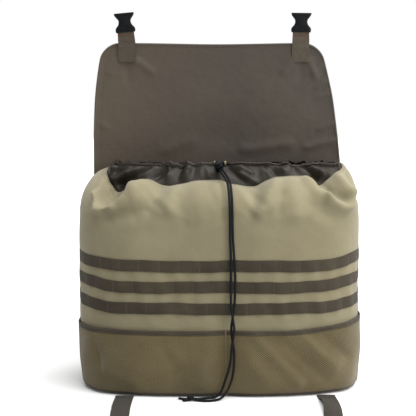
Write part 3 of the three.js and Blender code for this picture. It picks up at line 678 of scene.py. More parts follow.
def stitches(path, normal, pitch=0.0042, length=0.0032, radius=0.0005):
    """Lockstitches on a seam: small long beads set end to end along a path, each the ball
    x = length / 2 * cos a, y and z = radius * sin a times the circle."""
    line = resample(path, pitch)
    direction = unit(np.gradient(line, axis=0))
    normal = np.atleast_2d(np.asarray(normal, float))
    share, given = np.linspace(0, 1, len(line)), np.linspace(0, 1, len(normal))
    normal = np.stack([np.interp(share, given, normal[:, k]) for k in range(3)], -1)
    across = unit(np.cross(direction, normal))
    out = np.cross(across, direction)
    tilt = np.linspace(0.05, math.pi - 0.05, 5)
    angle = turns(6)
    ring = np.stack([np.cos(tilt)[:, None] + 0 * angle, np.sin(tilt)[:, None] * np.cos(angle),
                     np.sin(tilt)[:, None] * np.sin(angle)], -1)
    one = ring_part(ring)
    p = one.points * np.array([length / 2, radius, radius])
    points = (line[:, None] + direction[:, None] * p[None, :, :1] + across[:, None] * p[None, :, 1:2]
              + out[:, None] * (p[None, :, 2:] + radius * 0.4))
    starts = np.arange(len(line))[:, None, None] * len(p)
    faces = (one.faces[None] + starts).reshape(-1, 4)
    return Part(points.reshape(-1, 3), faces, np.tile(one.uvs, (len(line), 1, 1)) * length)


# ---------- the bag's outline and wall ----------
FRONT_SQUARENESS = 3.1
BACK_SQUARENESS = 6.0
HALF_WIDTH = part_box("right_gusset")[1].x - 0.004
HALF_DEPTH = -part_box("front_panel")[0].y
WALL_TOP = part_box("front_panel")[1].z
GUSSET_SEAM = 0.335
BACK_SEAM = 0.48
CLOTH = 0.0014
BASE_CORNER = 0.014
CORD_PLACE = 0.025


def outline(angle, half_width, half_depth):
    """A rounded outline, |x/a|^n + |y/b|^n = 1, squarer at the back. The angle is seen from the
    bag's middle: 0 is the middle of the front and a quarter turn the middle of the +X side."""
    s, c = np.sin(angle), np.cos(angle)
    power = np.where(c > 0, FRONT_SQUARENESS, BACK_SQUARENESS)
    reach = (np.abs(s / HALF_WIDTH) ** power + np.abs(c / HALF_DEPTH) ** power) ** (-1 / power)
    return reach * s / HALF_WIDTH * half_width, -reach * c / HALF_DEPTH * half_depth


TURNS = np.linspace(0, math.tau, 7201)
REACHES = np.concatenate([[0], np.cumsum(np.hypot(
    *(np.diff(values) for values in outline(TURNS, HALF_WIDTH, HALF_DEPTH))))])
PERIMETER = REACHES[-1]


def angle_at(s):
    """The outline's angle at a distance along it from the middle of the front."""
    return np.interp(np.mod(s, PERIMETER), REACHES, TURNS)


def sag(s, z):
    """How far the filled cloth stands off its outline: a low belly, slow waves round the bag and
    small puckers, all flattened where the cords hang."""
    belly = 0.003 * np.sin(math.pi * np.clip(z / WALL_TOP, 0, 1))
    slow = 0.0018 * np.sin(19 * s + 7 * z + 0.8) * np.sin(15 * z + 0.7)
    quick = 0.0008 * np.sin(61 * s - 22 * z + 1.9) * np.sin(47 * z + 11 * s)
    pucker = 0.0007 * np.sin(158 * s + 35 * z) * smooth((0.30 - z) / 0.05) * smooth((z - 0.15) / 0.03)
    hanging = 1 - 0.75 * np.exp(-((s - CORD_PLACE) / 0.035) ** 2)
    round_side = smooth((np.abs(wrapped(s)) - 0.2) / 0.1)
    drawn_in = smooth((0.2 - z) / 0.2) * round_side * np.where(wrapped(s) < 0, 0.007, 0.002)
    return (belly + slow + quick + pucker) * hanging - drawn_in


def wall(s, z, off=0.0):
    """A point on the sagging wall at a distance along the outline and a height, stood off it."""
    stand = off + sag(s, z)
    x, y = outline(angle_at(s), HALF_WIDTH + stand, HALF_DEPTH + stand)
    return np.stack(np.broadcast_arrays(x, y, z), -1)


def ring(s, half_width, front, back, lean=0.0):
    """A point in plan on a level with its own half width, front and back."""
    x, y = outline(angle_at(s), half_width, (back - front) / 2)
    return x + lean, y + (front + back) / 2


def around(first, last, step):
    return np.linspace(first, last, int(round((last - first) / step)) + 1)


def wrapped(s):
    """A distance along the outline between minus and plus half its length."""
    return np.mod(s + PERIMETER / 2, PERIMETER) - PERIMETER / 2


# ---------- the tan bag ----------
# The seam between tan cloth and throat, as (distance along the outline, height).
THROAT_SEAM = [
    (-0.788, 0.453), (-0.62, 0.454), (-0.5, 0.461), (-0.42, 0.462), (-0.36, 0.459), (-0.325, 0.450),
    (-0.292, 0.434), (-0.26, 0.425), (-0.226, 0.438), (-0.192, 0.4500), (-0.16, 0.442), (-0.132, 0.4355),
    (-0.104, 0.4405), (-0.068, 0.447), (-0.03, 0.4492), (-0.005, 0.4485), (0.02, 0.4405), (0.052, 0.437),
    (0.076, 0.438), (0.1, 0.447), (0.13, 0.4535), (0.166, 0.456), (0.196, 0.454), (0.226, 0.4375),
    (0.252, 0.4455), (0.285, 0.458), (0.33, 0.470), (0.384, 0.475), (0.45, 0.474), (0.55, 0.464),
    (0.65, 0.456), (0.788, 0.453)]
SEAM_LEVEL = {"half_width": 0.256, "front": -0.07, "back": 0.131, "lean": 0.012}
SHOULDER_IN = {"front": HALF_DEPTH - 0.07, "side": HALF_WIDTH - 0.256, "back": 0.004}

# Folds of the shoulder in the front view: start (x, z), end (x, z), half width, height.
SHOULDER_FOLDS = [
    ((-0.238, 0.462), (-0.260, 0.412), 0.008, 0.009),
    ((-0.260, 0.412), (-0.252, 0.390), 0.008, 0.010),
    ((-0.252, 0.390), (-0.224, 0.396), 0.008, 0.009),
    ((-0.224, 0.396), (-0.184, 0.438), 0.011, 0.007),
    ((-0.208, 0.434), (-0.236, 0.408), 0.011, -0.020),
    ((-0.122, 0.437), (-0.146, 0.394), 0.013, -0.007),
    ((-0.172, 0.444), (-0.178, 0.402), 0.016, 0.004),
    ((-0.095, 0.438), (-0.104, 0.392), 0.016, 0.004),
    ((-0.050, 0.440), (-0.040, 0.380), 0.018, 0.003),
    ((0.016, 0.444), (0.014, 0.376), 0.011, -0.005),
    ((0.075, 0.436), (0.066, 0.392), 0.013, -0.004),
    ((0.118, 0.452), (0.084, 0.386), 0.012, 0.006),
    ((0.150, 0.452), (0.158, 0.384), 0.020, 0.004),
    ((0.128, 0.425), (0.122, 0.390), 0.010, -0.003),
    ((0.184, 0.454), (0.226, 0.414), 0.011, 0.010),
    ((0.226, 0.414), (0.266, 0.392), 0.011, 0.011),
    ((0.214, 0.438), (0.262, 0.412), 0.011, -0.014),
    ((0.250, 0.456), (0.281, 0.424), 0.010, 0.008),
    ((0.281, 0.424), (0.276, 0.398), 0.009, 0.009),
    ((0.270, 0.462), (0.292, 0.410), 0.009, -0.006),
    ((0.196, 0.400), (0.236, 0.372), 0.016, -0.005),
    ((-0.226, 0.375), (-0.170, 0.392), 0.016, -0.006),
    ((-0.166, 0.450), (-0.101, 0.393), 0.0094, 0.0022), ((-0.101, 0.393), (-0.064, 0.372), 0.0100, 0.0015),
    ((-0.152, 0.432), (-0.118, 0.396), 0.0075, -0.0019), ((-0.190, 0.420), (-0.172, 0.372), 0.0100, -0.0019),
    ((-0.086, 0.420), (-0.070, 0.360), 0.0100, -0.0014), ((0.036, 0.440), (0.074, 0.388), 0.0088, 0.0022),
    ((0.074, 0.388), (0.128, 0.410), 0.0088, 0.0019), ((0.050, 0.438), (0.092, 0.404), 0.0075, -0.0019),
    ((0.196, 0.440), (0.170, 0.398), 0.0088, -0.0019), ((0.208, 0.424), (0.192, 0.372), 0.0100, 0.0019),
    ((-0.020, 0.430), (0.004, 0.392), 0.0088, -0.0014), ((-0.230, 0.330), (-0.120, 0.318), 0.0150, -0.0012),
    ((0.060, 0.346), (0.190, 0.356), 0.0163, -0.0012), ((-0.160, 0.362), (-0.040, 0.352), 0.0150, 0.0012),
]


def seam_height(s):
    line = curve_through(THROAT_SEAM, 0.004)
    return np.interp(wrapped(s), line[:, 0], line[:, 1])


def break_height(s):
    """Where the upright wall starts to roll in: a slow wave about the CAD wall's top edge."""
    return WALL_TOP - 0.006 + 0.006 * np.sin(26 * s + 0.6) + 0.004 * np.sin(57 * s + 2.0)


def folds(x, z, table):
    """The sum of ridges and valleys, each height * exp(-(d / width)^2) by the distance d from its
    line in the front view."""
    total = np.zeros_like(x)
    for start, end, width, height in table:
        dx, dz = end[0] - start[0], end[1] - start[1]
        t = np.clip(((x - start[0]) * dx + (z - start[1]) * dz) / (dx * dx + dz * dz), 0, 1)
        away = np.hypot(x - start[0] - t * dx, z - start[1] - t * dz)
        total += height * np.exp(-(away / width) ** 2)
    return total


def shoulder(s, turn):
    """The roll from wall to seam: a quarter of an ellipse, inset 1 - cos and height sin."""
    across, rise = 1 - np.cos(turn), np.sin(turn)
    z = lerp(break_height(s), seam_height(s), rise)
    stand = sag(s, break_height(s)) * (1 - across)
    half_width = HALF_WIDTH - SHOULDER_IN["side"] * across + stand
    front = -HALF_DEPTH + SHOULDER_IN["front"] * across - stand
    back = HALF_DEPTH - SHOULDER_IN["back"] * across + stand
    x, y = outline(angle_at(s), half_width, (back - front) / 2)
    return np.stack([x + SEAM_LEVEL["lean"] * across, y + (front + back) / 2, z], -1)


def bag_skin(s):
    """The whole skin at these stations: base corner, wall, shoulder, with the shoulder's folds."""
    low = np.linspace(0, math.pi / 2, 6)[:-1]
    tuck = BASE_CORNER * (1 - np.sin(low))
    base = wall(s[:, None], (BASE_CORNER * (1 - np.cos(low)))[None] + 0 * s[:, None], -tuck[None])
    top = break_height(s)[:, None]
    share = np.linspace(0, 1, 62)[None]
    upright = wall(s[:, None], lerp(BASE_CORNER, top, share))
    rolled = shoulder(s[:, None], np.linspace(0, math.pi / 2, 30)[None, 1:])
    skin = np.concatenate([base, upright, rolled], 1)
    normal = grid_normals(skin)
    facing = smooth((0.07 - skin[..., 1]) / 0.08) * smooth((skin[..., 2] - 0.33) / 0.05)
    sewn = np.ones(skin.shape[1])
    sewn[-9:] = np.linspace(1, 0.35, 9)
    amount = folds(skin[..., 0], skin[..., 2], SHOULDER_FOLDS) * facing * sewn
    return skin + normal * amount[..., None]


def add_bag():
    tan = bag_skin(around(-BACK_SEAM, BACK_SEAM, 0.0042))
    piece("tan_bag_body", thick(tan, CLOTH), TAN, "bag",
          ["front_panel", "left_gusset", "right_gusset", "shoulder_panel"])
    back = bag_skin(around(BACK_SEAM, PERIMETER - BACK_SEAM, 0.008))
    piece("back_cloth", thick(back, CLOTH), BACK, "bag", ["back_panel"])
    for side, s in (("left", -BACK_SEAM), ("right", BACK_SEAM)):
        line = bag_skin(np.array([s - 0.001, s, s + 0.001]))[1]
        piece(f"back_seam_piping_{side}", tube(line[4:], 0.0021, 8, up=(0, 1, 0)), BACK, "bag")
    s = around(0, PERIMETER, 0.01)[:-1]
    shares = np.array([1, 0.97, 0.9, 0.7, 0.4, 0.02])
    lift = np.array([0.0, 0.0, 0.0004, 0.0012, 0.0016, 0.0016])
    rim = wall(s, 0 * s, -BASE_CORNER)
    base = rim[:, None] * shares[None, :, None]
    base[..., 2] = 0.0004 + lift[None]
    piece("base_cloth", shell(base, base + np.array([0, 0, CLOTH * 2]), ring=True), BACK, "bag",
          ["bottom_panel"])


def add_bag_stitching():
    seam = bag_skin(around(-BACK_SEAM, BACK_SEAM, 0.006))
    normal = grid_normals(seam)
    rows = [stitches(seam[:, k] + normal[:, k] * 0.0002, normal[:, k], 0.0046, 0.0034, 0.00055)
            for k in (-2, -4)]
    piece("throat_seam_stitching", together(rows), TAN_THREAD, "bag")
    z = np.linspace(0.006, WALL_TOP, 60)
    gusset = []
    for side in (-1, 1):
        for shift in (-0.003, 0.003):
            s = np.full_like(z, side * GUSSET_SEAM + shift)
            line = wall(s, z, 0.0002)
            gusset.append(stitches(line, unit(line * np.array([1, 1, 0])), 0.0046))
    piece("gusset_stitching", together(gusset), TAN_THREAD, "bag")


# ---------- the gathered throat and its hem ----------
HEM_LEVEL = {"half_width": 0.243, "front": -0.041, "back": 0.114, "lean": 0.012}
HEM_EXIT = {"left": -0.011, "right": 0.015}
HEM_RADIUS = 0.0046
THROAT_FOLDS = [
    ((0.035, 0.480), (0.068, 0.460), 0.0065, 0.008),
    ((0.044, 0.458), (0.078, 0.442), 0.006, 0.006),
    ((0.020, 0.470), (0.052, 0.445), 0.006, -0.005),
    ((0.112, 0.484), (0.138, 0.462), 0.007, 0.008),
    ((0.100, 0.478), (0.122, 0.456), 0.006, -0.007),
    ((0.150, 0.486), (0.186, 0.455), 0.007, 0.010),
    ((0.168, 0.484), (0.205, 0.447), 0.006, -0.010),
    ((0.185, 0.485), (0.226, 0.452), 0.007, 0.009),
    ((0.205, 0.484), (0.255, 0.462), 0.007, -0.006),
    ((-0.142, 0.480), (-0.226, 0.442), 0.008, 0.010),
    ((-0.150, 0.472), (-0.208, 0.436), 0.007, -0.012),
    ((-0.120, 0.484), (-0.168, 0.452), 0.008, 0.009),
    ((-0.128, 0.488), (-0.236, 0.468), 0.007, 0.008),
    ((-0.100, 0.476), (-0.142, 0.446), 0.007, -0.009),
    ((-0.060, 0.478), (-0.075, 0.452), 0.008, 0.004),
    ((-0.028, 0.476), (-0.020, 0.452), 0.006, 0.004),
]


def gathers(s):
    """Uneven gathers round the mouth: sharp ridges 1 - 2 |sin| of a phase that runs faster and
    slower, 25 round the bag, and 83 smaller ones."""
    turn = s / PERIMETER * math.tau
    phase = 25 * turn / 2 + 1.4 * np.sin(3 * turn + 0.4) + 0.9 * np.sin(7 * turn + 2.1)
    fine = 83 * turn / 2 + 1.1 * np.sin(5 * turn + 1.0) + 0.8 * np.sin(11 * turn)
    return 1 - 2 * np.abs(np.sin(phase)), 1 - 2 * np.abs(np.sin(fine))


def hem_line(s):
    """The hem's own middle line, lower at the back, rippled by the gathers."""
    x, y = ring(s, **HEM_LEVEL)
    big, small = gathers(s)
    share = (y - HEM_LEVEL["front"]) / (HEM_LEVEL["back"] - HEM_LEVEL["front"])
    turn = s / PERIMETER * math.tau
    uneven = 0.15 + 0.85 * (0.5 + 0.5 * np.sin(9 * turn + 0.6 + np.sin(4 * turn))) ** 1.5
    quiet = (0.35 + 0.65 * smooth((np.abs(wrapped(s)) - 0.02) / 0.1)) * uneven
    slow = 0.0016 * np.sin(3 * s / PERIMETER * math.tau + 1.0)
    z = lerp(0.4805, 0.4705, share) + slow + quiet * (0.0042 * big + 0.0010 * small)
    inward = quiet * (0.0040 * big - 0.0009 * small)
    centre = np.array([HEM_LEVEL["lean"], (HEM_LEVEL["front"] + HEM_LEVEL["back"]) / 2])
    flat = np.stack([x, y], -1)
    flat = flat + unit(flat - centre) * (inward - 0.001)[..., None]
    return np.concatenate([flat, z[..., None]], -1)


def add_throat():
    s = around(0, PERIMETER, 0.0036)[:-1]
    seam = shoulder(s, np.full_like(s, math.pi / 2))
    amount = folds(seam[:, 0], seam[:, 2], SHOULDER_FOLDS) * smooth((0.07 - seam[:, 1]) / 0.08)
    seam[:, 2] += amount * 0.35 - 0.0016
    seam[:, :2] *= 0.994
    hem = hem_line(s)
    hem[:, 2] -= 0.002
    t = np.linspace(0, 1, 26)[None, :, None]
    skin = lerp(seam[:, None], hem[:, None], t)
    normal = grid_normals(skin, ring=True)
    big, small = gathers(s)
    rise = np.sin(math.pi * t[..., 0] * 0.5)
    swell = np.sin(math.pi * t[..., 0])
    loud = (0.3 + 0.7 * smooth((np.abs(wrapped(s)) - 0.03) / 0.12))[:, None]
    front = smooth((0.05 - skin[..., 1]) / 0.05)
    relief = loud * swell * (0.0046 * big[:, None] * rise + 0.0008 * small[:, None] * rise ** 2)
    relief = relief + 0.003 * swell + folds(skin[..., 0], skin[..., 2], THROAT_FOLDS) * front * swell ** 0.6
    skin = skin + normal * relief[..., None]
    made = piece("gathered_throat", thick(skin, 0.0008, ring=True), THROAT, "bag",
                 ["throat_skirt"])
    run = around(HEM_EXIT["right"], PERIMETER + HEM_EXIT["left"], 0.0026)
    path = hem_line(run)
    angle = turns(14)
    ruche = 0.0006 * np.sin(run[:, None] * 620 + 2 * np.sin(run[:, None] * 47) + 2 * np.sin(angle))
    sleeve = tube(path, HEM_RADIUS, 14, squash=0.6, relief=ruche)
    piece("drawcord_hem_sleeve", sleeve, THROAT, "bag", ["drawcord_hem"])
    outwards = unit((path - np.array([0.008, 0.04, 0])) * np.array([1, 1, 0]))
    under = path + outwards * HEM_RADIUS * 0.9 - np.array([0, 0, HEM_RADIUS * 0.62])
    piece("hem_stitching", stitches(under, outwards, *LIGHT_STITCH), DARK_THREAD, "bag")


# ---------- drawcord, eyelets and cord lock ----------
CORD = 0.005
# The tails' routes, in metres, from the lock over the shoulder and down the front to the ground.
TAIL_ROUTES = {
    "left": [
        (0.0011, -0.0759, 0.4701), (0.0044, -0.0807, 0.4660), (0.0084, -0.0866, 0.4606),
        (0.0125, -0.0945, 0.4544), (0.0160, -0.1040, 0.4484), (0.0180, -0.1150, 0.4396),
        (0.0195, -0.1260, 0.4270), (0.0205, -0.1345, 0.4110), (0.0210, -0.1389, 0.3920),
        (0.0215, -0.1396, 0.3650), (0.0220, -0.1402, 0.3350), (0.0230, -0.1412, 0.3080),
        (0.0240, -0.1422, 0.2800), (0.0235, -0.1426, 0.2500), (0.0235, -0.1430, 0.2200),
        (0.0245, -0.1466, 0.1920), (0.0280, -0.1506, 0.1680), (0.0305, -0.1512, 0.1480),
        (0.0280, -0.1512, 0.1260), (0.0250, -0.1504, 0.1040), (0.0234, -0.1470, 0.0820),
        (0.0195, -0.1458, 0.0620), (0.0140, -0.1462, 0.0440), (0.0085, -0.1468, 0.0270),
        (0.0020, -0.1480, 0.0130), (-0.0070, -0.1486, 0.0044), (-0.0180, -0.1490, 0.0029),
        (-0.0300, -0.1524, 0.0028), (-0.0420, -0.1570, 0.0028), (-0.0520, -0.1592, 0.0034)],
    "right": [
        (0.0057, -0.0751, 0.4729), (0.0096, -0.0803, 0.4684), (0.0142, -0.0870, 0.4620),
        (0.0184, -0.0950, 0.4554), (0.0216, -0.1045, 0.4488), (0.0234, -0.1154, 0.4399),
        (0.0248, -0.1264, 0.4272), (0.0258, -0.1349, 0.4110), (0.0262, -0.1391, 0.3920),
        (0.0268, -0.1397, 0.3650), (0.0276, -0.1403, 0.3350), (0.0294, -0.1412, 0.3080),
        (0.0314, -0.1422, 0.2800), (0.0324, -0.1426, 0.2500), (0.0320, -0.1430, 0.2200),
        (0.0305, -0.1438, 0.1920), (0.0270, -0.1443, 0.1680), (0.0246, -0.1450, 0.1480),
        (0.0266, -0.1454, 0.1260), (0.0300, -0.1454, 0.1040), (0.0308, -0.1456, 0.0820),
        (0.0296, -0.1460, 0.0620), (0.0266, -0.1472, 0.0440), (0.0210, -0.1496, 0.0280),
        (0.0136, -0.1540, 0.0146), (0.0040, -0.1600, 0.0054), (-0.0070, -0.1656, 0.0029),
        (-0.0180, -0.1694, 0.0028), (-0.0300, -0.1702, 0.0028), (-0.0410, -0.1684, 0.0028),
        (-0.0515, -0.1652, 0.0034)],
}
KNOT_CENTRE = (-0.0596, -0.1624, 0.0062)
CORD_IN_FRONT = [(-0.003, -0.062, 0.484), (-0.0004, -0.0574, 0.4856), (0.0024, -0.051, 0.4858),
                 (0.0062, -0.045, 0.4842), (0.0106, -0.0412, 0.4822)]
CORD_BEHIND = [(-0.0066, -0.0412, 0.4818), (-0.0032, -0.045, 0.4818), (-0.004, -0.051, 0.4819),
               (-0.0058, -0.057, 0.4816), (-0.0076, -0.0625, 0.4813)]


def path_length(path):
    return float(np.linalg.norm(np.diff(path, axis=0), axis=1).sum())


def braid(path, sides=16):
    """A braided cord: a round bar whose skin rises along strands that cross, sin(4a + ks) and
    sin(4a - ks)."""
    reach = np.linspace(0, path_length(path), len(path))[:, None]
    angle = turns(sides)[None]
    strands = np.maximum(np.sin(4 * angle + reach * 1400), np.sin(4 * angle - reach * 1400))
    return tube(path, CORD / 2 - 0.0001, sides, up=(0.9, 0.1, 0.2), relief=0.00016 * strands)


def knot_part():
    """An overhand knot drawn up on both cords: x = sin t + 2 sin 2t, y = cos t - 2 cos 2t,
    z = -sin 3t, and two short ends whose tips were melted round."""
    t = turns(72)
    path = np.stack([np.sin(t) + 2 * np.sin(2 * t), (np.cos(t) - 2 * np.cos(2 * t)) * 0.9,
                     -1.1 * np.sin(3 * t)], -1)
    knot = loop_tube(path * 0.0019 + np.array(KNOT_CENTRE), CORD / 2 - 0.0001, 12, up=(0.1, 0.05, 1))
    ends = [
        [(-0.0640, -0.1610, 0.0046), (-0.0690, -0.1594, 0.0030), (-0.0760, -0.1566, 0.0027),
         (-0.0830, -0.1530, 0.0026)],
        [(-0.0630, -0.1650, 0.0040), (-0.0690, -0.1672, 0.0027), (-0.0740, -0.1680, 0.0026)]]
    return together([knot] + [braid(curve_through(points, 0.001)) for points in ends])


def add_drawcord():
    knot = piece("drawcord_overhand_knot", knot_part(), BRAID, "bag", ["drawcord_knot"])
    for side, points in TAIL_ROUTES.items():
        path = curve_through(points, 0.00125)
        tail = piece(f"drawcord_tail_braid_{side}", braid(path), BRAID, "bag",
                     [f"drawcord_tail_{side}"])
    run = around(HEM_EXIT["right"] + 0.003, PERIMETER + HEM_EXIT["left"] - 0.003, 0.006)
    loop = np.concatenate([np.array(CORD_IN_FRONT), hem_line(run), np.array(CORD_BEHIND)])
    path = curve_through(loop, 0.002)
    piece("drawcord_loop_braid", braid(path, 12), BRAID, "bag", ["drawcord_loop"])


def eased_copy(name, node, finish, body, ease, segments=2):
    """A CAD node's own shape, welded and with its edges eased as a mould leaves them."""
    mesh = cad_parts[node].data.copy()
    mesh.name = name
    work = bmesh.new()
    work.from_mesh(mesh)
    bmesh.ops.remove_doubles(work, verts=work.verts, dist=1e-5)
    bmesh.ops.dissolve_limit(work, angle_limit=math.radians(1.5), verts=work.verts, edges=work.edges)
    bmesh.ops.recalc_face_normals(work, faces=work.faces)
    work.to_mesh(mesh)
    work.free()
    mesh.materials.clear()
    mesh.materials.append(finish)
    mesh.polygons.foreach_set("use_smooth", np.ones(len(mesh.polygons), bool))
    mesh.set_sharp_from_angle(angle=math.radians(35))
    made = bpy.data.objects.new(name, mesh)
    bpy.context.collection.objects.link(made)
    if ease:
        edges = made.modifiers.new("eased_edges", "BEVEL")
        edges.width = ease
        edges.segments = segments
        edges.limit_method = "ANGLE"
        edges.angle_limit = math.radians(35)
        edges.use_clamp_overlap = True
    return settle(made, body, [node])


def add_cord_lock():
    eased_copy("cord_lock_moulded_barrel", "cord_lock_barrel", ACETAL, "bag", 0.0007)
    eased_copy("cord_lock_moulded_plunger", "cord_lock_plunger", ACETAL, "lock_plunger", 0.0005)
    spring = eased_copy("cord_lock_drawn_spring", "cord_lock_spring", STEEL, "bag", 0.0)
    coil = points_of(spring)
    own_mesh(spring)
    for side in ("left", "right"):
        middle = middle_of(f"eyelet_{side}")
        angle = turns(28)
        face = np.stack([0 * angle, np.cos(angle) * 0.0046, np.sin(angle) * 0.0046], -1)
        rims = [loop_tube(middle + face + np.array([shift, 0, 0]), 0.0011, 10, up=(1, 0, 0))
                for shift in (-0.0007, 0.0007)]
        piece(f"rolled_eyelet_{side}", together(rims), BRASS, "bag", [f"eyelet_{side}"])


# ---------- load webbing ----------
WEB_CENTRES = [middle_of(f"webbing_row_{row}")[2] for row in (1, 2, 3)]
WEB_HEIGHT = 0.024
WEB_REACH = 0.392
BARTACK_PITCH = 0.041
ROW_SHIFT = 0.013


def web_stand(s, row):
    """How far a load row stands off the wall: sewn down at each bartack, loose between."""
    loose = np.abs(np.sin(math.pi * (s + ROW_SHIFT * row) / BARTACK_PITCH)) ** 0.7
    near_cord = 1 - 0.8 * np.exp(-((s - CORD_PLACE) / 0.03) ** 2)
    at_side = 1 - 0.8 * smooth((np.abs(s) - 0.25) / 0.06)
    return 0.0013 * at_side + 0.0012 * loose * near_cord * at_side


def web_point(s, t, row):
    """A point on a load row: t is -1 at its lower edge and 1 at its upper one. Its middle wanders
    a little, as sewn webbing does."""
    wander = 0.0010 * np.sin(23 * s + 2.1 * row) + 0.0005 * np.sin(71 * s + row)
    z = WEB_CENTRES[row] + wander + t * WEB_HEIGHT / 2
    z = z + 0.011 * smooth((np.abs(s) - 0.2) / 0.14)
    stand = web_stand(s, row) + 0.0004 * (1 - t ** 4)
    return wall(s, z, stand)


def add_load_webbing():
    threads = []
    for row in range(3):
        s = around(-WEB_REACH, WEB_REACH, 0.0025)[:, None]
        t = np.linspace(-1, 1, 9)[None]
        name = f"load_webbing_{row + 1}"
        piece(name, thick(web_point(s, t, row), 0.0012), WEBBING, "bag",
              [f"webbing_row_{row + 1}"])
        first = math.ceil((-WEB_REACH + ROW_SHIFT * row) / BARTACK_PITCH)
        last = math.floor((WEB_REACH + ROW_SHIFT * row) / BARTACK_PITCH)
        for k in range(first, last + 1):
            place = k * BARTACK_PITCH - ROW_SHIFT * row
            for shift in (-0.0008, 0.0008):
                t = np.linspace(-0.86, 0.86, 9)
                line = web_point(np.full_like(t, place + shift), t, row)
                normal = outwards_from_middle(line)
                threads.append(stitches(line - normal * 0.0001, normal, 0.0022, 0.0022, 0.0004))
    piece("load_webbing_bartacks", together(threads), WEB_THREAD, "bag")


# ---------- mesh pockets ----------
POCKET_LOW, POCKET_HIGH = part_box("mesh_pocket_left")[0].z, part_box("mesh_pocket_left")[1].z
POCKET_SIDES = {"left": (-0.392, 0.0125), "right": (0.0135, 0.392)}
POCKET_STAND = 0.0085
POCKET_RAMPS = (0.05, 0.13)
POCKET_RISE = {"left": 0.0, "right": 0.017}
DIAMOND = (0.0054, 0.0044)
STRAND = 0.60
BINDING = 0.0105
# Pulls in the netting in the front view: start (x, z), end (x, z), half width, height.
POCKET_FOLDS = [
    ((0.030, 0.120), (0.080, 0.050), 0.012, 0.003), ((0.075, 0.125), (0.160, 0.030), 0.013, 0.004),
    ((0.120, 0.128), (0.215, 0.040), 0.012, -0.003), ((0.165, 0.130), (0.235, 0.060), 0.012, 0.004),
    ((0.215, 0.128), (0.265, 0.075), 0.010, -0.003), ((-0.060, 0.125), (-0.030, 0.040), 0.014, 0.002),
    ((-0.120, 0.120), (-0.090, 0.060), 0.014, -0.003), ((-0.170, 0.125), (-0.230, 0.060), 0.016, 0.003),
    ((-0.225, 0.050), (-0.160, 0.022), 0.014, 0.003), ((0.020, 0.060), (0.060, 0.020), 0.012, -0.002),
    ((-0.080, 0.040), (-0.020, 0.022), 0.012, 0.002), ((-0.255, 0.110), (-0.238, 0.040), 0.008, -0.003)]


def pocket_depth(s):
    """How far a pocket stands off the wall, by the distance to its nearer seam."""
    inner = np.minimum(np.abs(s - POCKET_SIDES["left"][1]), np.abs(s - POCKET_SIDES["right"][0]))
    outer = POCKET_SIDES["right"][1] - np.abs(s)
    return POCKET_STAND * smooth(inner / POCKET_RAMPS[0]) * smooth(outer / POCKET_RAMPS[1])


def pocket_point(s, z, side, off=0.0):
    """A point on the netting: it stands off the wall most at mid height, runs down to nothing at
    its seams, follows the base corner inwards and carries its own pulls."""
    share = np.clip((z - POCKET_LOW) / (POCKET_HIGH - POCKET_LOW), 0, 1)
    z = z + POCKET_RISE[side] * smooth((np.abs(s) - 0.12) / 0.24) * share
    belly = 0.62 + 0.38 * np.sin(math.pi * share ** 0.8)
    waves = 0.0009 * np.sin(47 * s + 60 * z) + 0.0007 * np.sin(96 * s - 41 * z + 1.0)
    tuck = BASE_CORNER * (1 - np.sqrt(np.clip(1 - (1 - np.clip(z / BASE_CORNER, 0, 1)) ** 2, 0, 1)))
    depth = pocket_depth(s)
    x, _ = outline(angle_at(s), HALF_WIDTH, HALF_DEPTH)
    pulls = folds(x + 0 * z, z + 0 * s, POCKET_FOLDS) * depth / POCKET_STAND
    hanging = 1 - 0.8 * np.exp(-((s - 0.02) / 0.04) ** 2)
    stand = 0.0009 + depth * belly + (waves + pulls) * depth / POCKET_STAND * hanging - tuck
    return wall(s, z, stand + off)


def netting(side):
    """Diamond netting: cells of four corners, each with a smaller diamond cut out of it, so its
    strands are a share of the cell. The corners are the middles between neighbouring cells."""
    first, last = POCKET_SIDES[side]
    low, high = POCKET_LOW + 0.001, POCKET_HIGH - BINDING * 0.7
    count = np.array([(last - first) // DIAMOND[0], (high - low) // DIAMOND[1]])
    wide, tall = np.array([last - first, high - low]) / count
    columns = np.arange(1, 2 * int(count[0]))
    rows = np.arange(1, 2 * int(count[1]))
    i, j = np.meshgrid(columns, rows, indexing="ij")
    keep = (i + j) % 2 == 0
    centre = np.stack([first + i[keep] * wide / 2, low + j[keep] * tall / 2], -1)
    corner = np.array([(-0.5, 0), (0, -0.5), (0.5, 0), (0, 0.5)]) * np.array([wide, tall])
    outer = centre[:, None] + corner[None]
    inner = centre[:, None] + corner[None] * STRAND
    flat = np.concatenate([outer, inner], 1)
    face = np.array([(k, (k + 1) % 4, 4 + (k + 1) % 4, 4 + k) for k in range(4)])
    faces = (face[None] + 8 * np.arange(len(centre))[:, None, None]).reshape(-1, 4)
    points = pocket_point(flat[..., 0], flat[..., 1], side).reshape(-1, 3)
    uvs = flat.reshape(-1, 2)[faces]
    return Part(points, faces, uvs)


